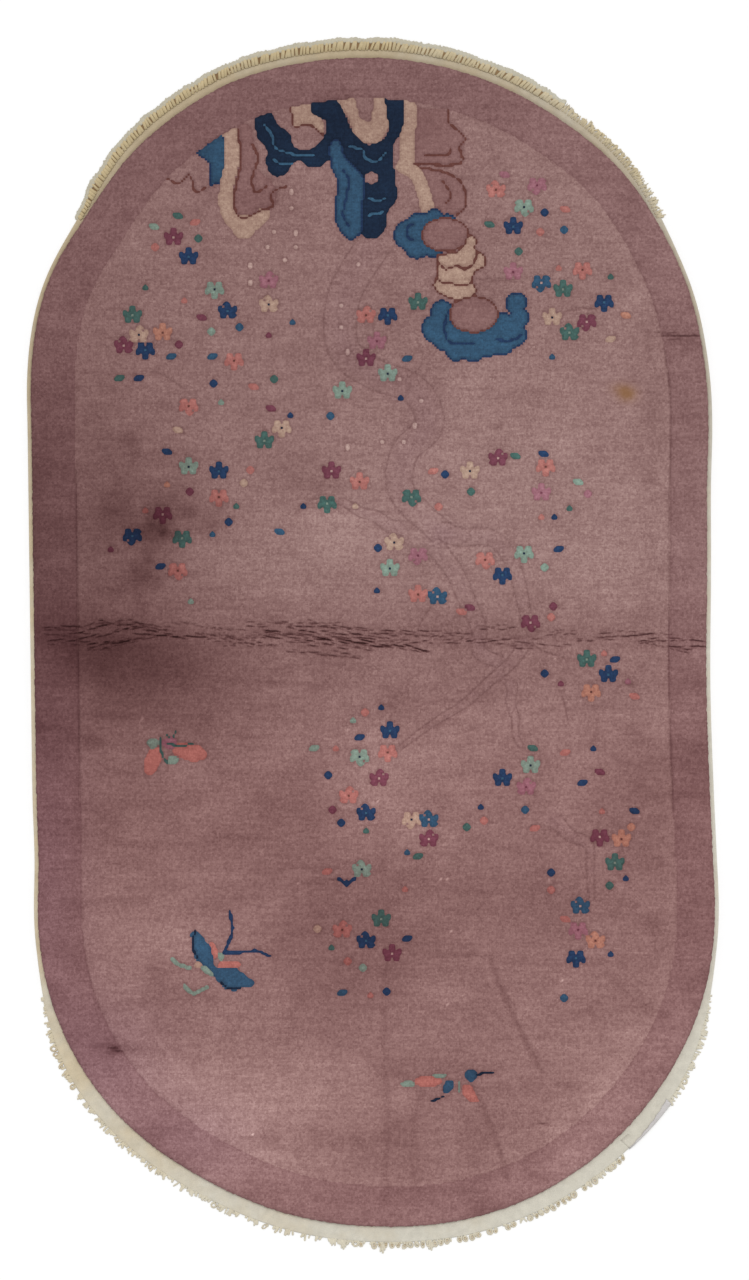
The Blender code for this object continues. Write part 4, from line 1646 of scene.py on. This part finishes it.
def laid_at(template, place, way, turn=0.0, size=(1, 1, 1), lift=0.0, dip=0.0):
    """A copy of a small piece that lies along +Y, laid at a place and pointing the given way."""
    twin = copy_of(template)
    heading = math.atan2(way[1], way[0]) - math.pi / 2 + turn
    twin.data.transform(
        Matrix.Translation((place[0], place[1], lift))
        @ Matrix.Rotation(heading, 4, "Z")
        @ Matrix.Rotation(-dip, 4, "X")
        @ Matrix.Diagonal((*size, 1))
    )
    return twin


def warp_bundle(material):
    """A short bundle of warps 10 mm long: round, flat underneath, thinner at its cut end."""
    bpy.ops.mesh.primitive_cylinder_add(vertices=8, radius=0.0026, depth=0.010,
                                        rotation=(math.pi / 2, 0, 0), location=(0, 0.005, 0))
    bundle = bpy.context.object
    bpy.ops.object.transform_apply(location=True, rotation=True, scale=True)
    choose_faces(bundle.data, face_centres(bundle.data)[:, 1] > 0.0099)
    editing(bundle, "FACE")
    for step, size in ((0.0008, 0.86), (0.0006, 0.62)):
        bpy.ops.mesh.extrude_region_move(TRANSFORM_OT_translate={"value": (0, step, 0)})
        bpy.ops.transform.resize(value=(size, 1, size), center_override=(0, 0, 0))
    done_editing()
    places = places_of(bundle.data)
    places[:, 2] = np.clip(places[:, 2] * 0.46, -0.0009, 1) + 0.0010
    set_places(bundle.data, places)
    bundle.data.materials.append(material)
    return bundle


def rim_bead(material):
    """One lump of the knotted rim: a low, long lump across the way out."""
    bpy.ops.mesh.primitive_uv_sphere_add(segments=10, ring_count=6, radius=1)
    bead = bpy.context.object
    places = places_of(bead.data) * (0.0056, 0.0050, 0.0016)
    places[:, 2] = np.clip(places[:, 2], -0.0011, 1) + 0.0012
    set_places(bead.data, places)
    bead.data.materials.append(material)
    return bead


def ring_knot(material):
    """One knotted loop of warp, lying flat."""
    bpy.ops.mesh.primitive_torus_add(major_segments=14, minor_segments=6, major_radius=0.0035,
                                     minor_radius=0.0013)
    knot = bpy.context.object
    places = places_of(knot.data) * (0.84, 1.25, 1.0)
    places[:, 2] += 0.0014
    set_places(knot.data, places)
    knot.data.materials.append(material)
    return knot


def head_is_worn(place):
    """The stretch at the upper right where the knotted rim has come away."""
    return place[0] > 0.335 and place[1] < 0.965


def dwindling(place):
    """From 0 where a fringe begins on the shoulder to 1 where it is full."""
    return eased((end_share(place[1]) - FRINGE_SHARE) / 0.35)


def rim_distance(place):
    """How far past the web's edge the middle of the knotted rim lies."""
    wave = 0.0011 * math.sin(place[0] * 71 + place[1] * 53) + 0.0007 * math.sin(place[0] * 190)
    full = 0.0078 + 0.0028 * math.exp(-((place[0] / 0.22) ** 2)) + wave
    return full * (0.15 + 0.85 * dwindling(place))


def slot_backing(material):
    """The strip of closely packed weft between the head's bundles, coloured dark brown: soil, and painted
    shade in the gaps.
    """
    arc = [station for station in stations(FINE_PITCH, True) if not head_is_worn(station[0])]
    bpy.ops.mesh.primitive_grid_add(x_subdivisions=len(arc) - 1, y_subdivisions=2, size=1)
    strip = bpy.context.object
    places = places_of(strip.data)
    for vertex in places:
        place, way = arc[round((vertex[0] + 0.5) * (len(arc) - 1))]
        on_web, at_edge, at_rim = (-0.0058, 0.0031), (0.0005, 0.0028), (rim_distance(place), 0.0007)
        out, up = (on_web, at_edge, at_rim)[round((vertex[1] + 0.5) * 2)]
        vertex[:] = (*(place + way * out), up)
    set_places(strip.data, places)
    strip.data.materials.append(material)
    return strip


def worn_ends(draw, bundle, start, place, way):
    """Loose warps, where the rim that tied them has come away."""
    found = []
    for _ in range(draw.choice((1, 2, 2))):
        size = (draw.uniform(0.4, 1.0), draw.uniform(0.75, 1.45), 1)
        found.append(laid_at(bundle, start, way, draw.uniform(-0.4, 0.3), size, 0.0018, 0.08))
    for _ in range(draw.choice((1, 2, 3))):
        size = (draw.uniform(0.2, 0.6), draw.uniform(0.4, 1.1), 0.7)
        found.append(laid_at(bundle, place, way, draw.uniform(-1.1, 0.8), size, 0.0004))
    return found


def tied_end(draw, bundle, bead, start, place, way):
    """One bundle of warps and the lumps of its knot in the rim."""
    across = np.array((way[1], -way[0]))
    reach = rim_distance(place)
    size = (draw.uniform(0.85, 1.45), (BUNDLE_START + reach) / BUNDLE_LONG, 1)
    found = [laid_at(bundle, start, way, draw.uniform(-0.42, -0.05), size, 0.0028, 0.14)]
    at = place + way * (reach + draw.uniform(-0.0004, 0.0008))
    size = (draw.uniform(0.9, 1.1), draw.uniform(0.85, 1.2), draw.uniform(0.9, 1.1))
    found.append(laid_at(bead, at, way, draw.uniform(-0.2, 0.2), size))
    if draw.random() < 0.5:
        size = (draw.uniform(0.3, 0.45), draw.uniform(0.45, 0.7), 0.9)
        found.append(laid_at(bead, at + way * 0.0032 + across * 0.002, way, 0.3, size))
    return found


def make_head_fringe():
    """Warp bundles with dark gaps between them, tied off in a grey beaded rim."""
    warp = cotton_material("head_warp_cotton", (204, 194, 170), (194, 176, 138), 900.0)
    bundle = warp_bundle(warp)
    bead = rim_bead(cotton_material("rim_cotton", (196, 192, 176), (188, 181, 162), 900.0))
    draw = random.Random(17)
    # The weft strip's dark brown stands for soil and painted shade in the gaps between bundles.
    pieces = [slot_backing(cotton_material("shade_and_soil_weft", (156, 130, 96), (128, 102, 72), 900.0))]
    for place, way in stations(HEAD_PITCH, True):
        across = np.array((way[1], -way[0]))
        start = place - way * BUNDLE_START + across * draw.uniform(-0.0008, 0.0008)
        if head_is_worn(place):
            pieces += worn_ends(draw, bundle, start, place, way)
        else:
            pieces += tied_end(draw, bundle, bead, start, place, way)
    return finish_fringe(pieces, "fringe_rim_head", (bundle, bead))


def foot_is_ringed(place):
    """The stretch to the right of the foot that keeps its ring knots."""
    return -0.02 < place[0] < 0.50


def knotted_end(draw, ring, heart, place, way):
    """One ring knot past the web's edge, filled where the knots are still whole."""
    across = np.array((way[1], -way[0]))
    at = place + way * draw.uniform(0.0040, 0.0066) + across * draw.uniform(-0.0012, 0.0012)
    turn = draw.uniform(-0.7, 0.7)
    size = (draw.uniform(0.85, 1.6), draw.uniform(0.8, 1.25), draw.uniform(0.9, 1.2))
    found = [laid_at(ring, at, way, turn, size)]
    if foot_is_ringed(place):
        found.append(laid_at(heart, at, way, turn, (0.30, 0.52, 0.5)))
    return found


def cut_ends(draw, bundle, place, way, knotted):
    """The cut warps at one place: a few beside a knot, or a spread of them where there is none."""
    across = np.array((way[1], -way[0]))
    found = []
    for _ in range(draw.choice((1, 2, 2) if knotted else (4, 5, 6))):
        start = place - way * 0.003 + across * draw.uniform(-0.0062, 0.0062)
        length = draw.uniform(0.5, 0.9) if knotted else draw.choice((0.6, 0.75, 0.9, 1.2))
        length *= 0.5 + 0.5 * dwindling(place)
        size = (draw.uniform(0.5, 1.0), length * draw.uniform(0.85, 1.15), draw.uniform(0.7, 1.0))
        found.append(laid_at(bundle, start, way, draw.uniform(-0.55, 0.55), size, 0.0005))
    return found


def hanging_tail(bundle, tail):
    """Three long warps that fan out from one place at the foot."""
    place, way = min(stations(FINE_PITCH, False), key=lambda s: abs(s[0][0] - tail["x"]))
    found = []
    for lean, share in ((-0.14, 0.8), (0.08, 1.0), (0.30, 0.6)):
        length = (0.010 + tail["longer"] * share) / BUNDLE_LONG
        found.append(laid_at(bundle, place - way * 0.002, way, lean, (0.7, length, 0.9), 0.0004))
    return found


def make_foot_fringe():
    """Single ring knots to the right, cut stubs to the left, and a few tails that hang out."""
    bundle = warp_bundle(cotton_material("foot_warp_cotton", (214, 207, 188), (206, 192, 162), 900.0))
    ring = ring_knot(cotton_material("knot_cotton", (211, 202, 180), (196, 178, 146), 900.0))
    heart = rim_bead(cotton_material("knot_heart", (214, 196, 164), (200, 174, 134), 900.0))
    draw = random.Random(29)
    pieces = []
    for place, way in stations(FOOT_PITCH, False):
        if lies_in_turn(*place) or draw.random() < BARE_GAPS:
            continue
        knotted = draw.random() < (0.88 if foot_is_ringed(place) else 0.16) * dwindling(place) ** 0.5
        if knotted:
            pieces += knotted_end(draw, ring, heart, place, way)
        pieces += cut_ends(draw, bundle, place, way, knotted)
    for tail in TAILS:
        pieces += hanging_tail(bundle, tail)
    return finish_fringe(pieces, "fringe_knots_foot", (bundle, ring, heart))


def finish_fringe(pieces, name, templates):
    """Joins a fringe's warps and knots, and darkens them where they meet the floor with painted shade and
    soil.
    """
    fringe = joined(pieces, name)
    for template in templates:
        bpy.data.objects.remove(template)
    # painted shade and soil: darker the nearer the floor
    deep = 1 - np.clip(places_of(fringe.data)[:, 2] / 0.0013, 0, 1)
    keep_values(fringe.data, "soil_and_shade", 0.40 * deep)
    smooth(fringe)
    return fringe


# ------------------------------------------------------------------ build

WOOL = wool_materials()
pile_pieces = make_pile()
foundation = make_foundation()
turned_edge = make_turned_edge()
head_fringe = make_head_fringe()
foot_fringe = make_foot_fringe()

low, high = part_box("carpet")
own_middle = (WEB.min(0) + WEB.max(0)) / 2
onto_frame = Vector((*((low + high) / 2).xy, 0)) - Vector((*own_middle, 0))
for piece in (*pile_pieces, foundation, turned_edge, head_fringe, foot_fringe):
    piece.data.transform(Matrix.Translation(onto_frame))
    piece.data.update()
    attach(piece, "root")

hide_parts("carpet")
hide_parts("fringe_head")
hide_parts("fringe_foot")


# ------------------------------------------------------------------ floor, light and camera


def make_floor():
    bpy.ops.mesh.primitive_plane_add(size=12, location=(0, 0, 0))
    floor = bpy.context.object
    floor.name = floor.data.name = "floor"
    bpy.ops.object.transform_apply(location=True, rotation=True, scale=True)
    material = bpy.data.materials.new("pale_floor")
    material.use_nodes = True
    shader = next(n for n in material.node_tree.nodes if n.type == "BSDF_PRINCIPLED")
    shader.inputs["Base Color"].default_value = (0.93, 0.93, 0.93, 1)
    shader.inputs["Roughness"].default_value = 0.9
    shader.inputs["Specular IOR Level"].default_value = 0.1
    floor.data.materials.append(material)


def make_lights():
    """A bright even sky, and one broad soft light from past the head."""
    world = bpy.data.worlds.new("studio")
    bpy.context.scene.world = world
    world.use_nodes = True
    sky = next(n for n in world.node_tree.nodes if n.type == "BACKGROUND")
    sky.inputs["Color"].default_value = (1, 1, 1, 1)
    sky.inputs["Strength"].default_value = 0.72
    lamp = bpy.data.lights.new("softbox", "SUN")
    lamp.energy = 1.33
    lamp.angle = math.radians(30)
    softbox = bpy.data.objects.new("softbox", lamp)
    softbox.rotation_euler = (math.radians(-26), 0, math.radians(-12))
    bpy.context.collection.objects.link(softbox)


CAMERA_HEIGHT, VIEW_LENGTH = 5.5, 2.253
CAMERA_SENSOR = 36.0
CAMERA_X, CAMERA_Y = 0.0053, 0.0018


def make_camera():
    """Straight down over the rug, its head to the top."""
    data = bpy.data.cameras.new("camera")
    data.sensor_width = CAMERA_SENSOR
    data.lens = CAMERA_SENSOR * (CAMERA_HEIGHT - PILE_TOP) / VIEW_LENGTH
    camera = bpy.data.objects.new("camera", data)
    camera.location = Vector((CAMERA_X, CAMERA_Y, CAMERA_HEIGHT)) + onto_frame
    bpy.context.collection.objects.link(camera)
    bpy.context.scene.camera = camera


deselect()
make_floor()
make_lights()
make_camera()
bpy.context.scene.view_settings.view_transform = "Standard"
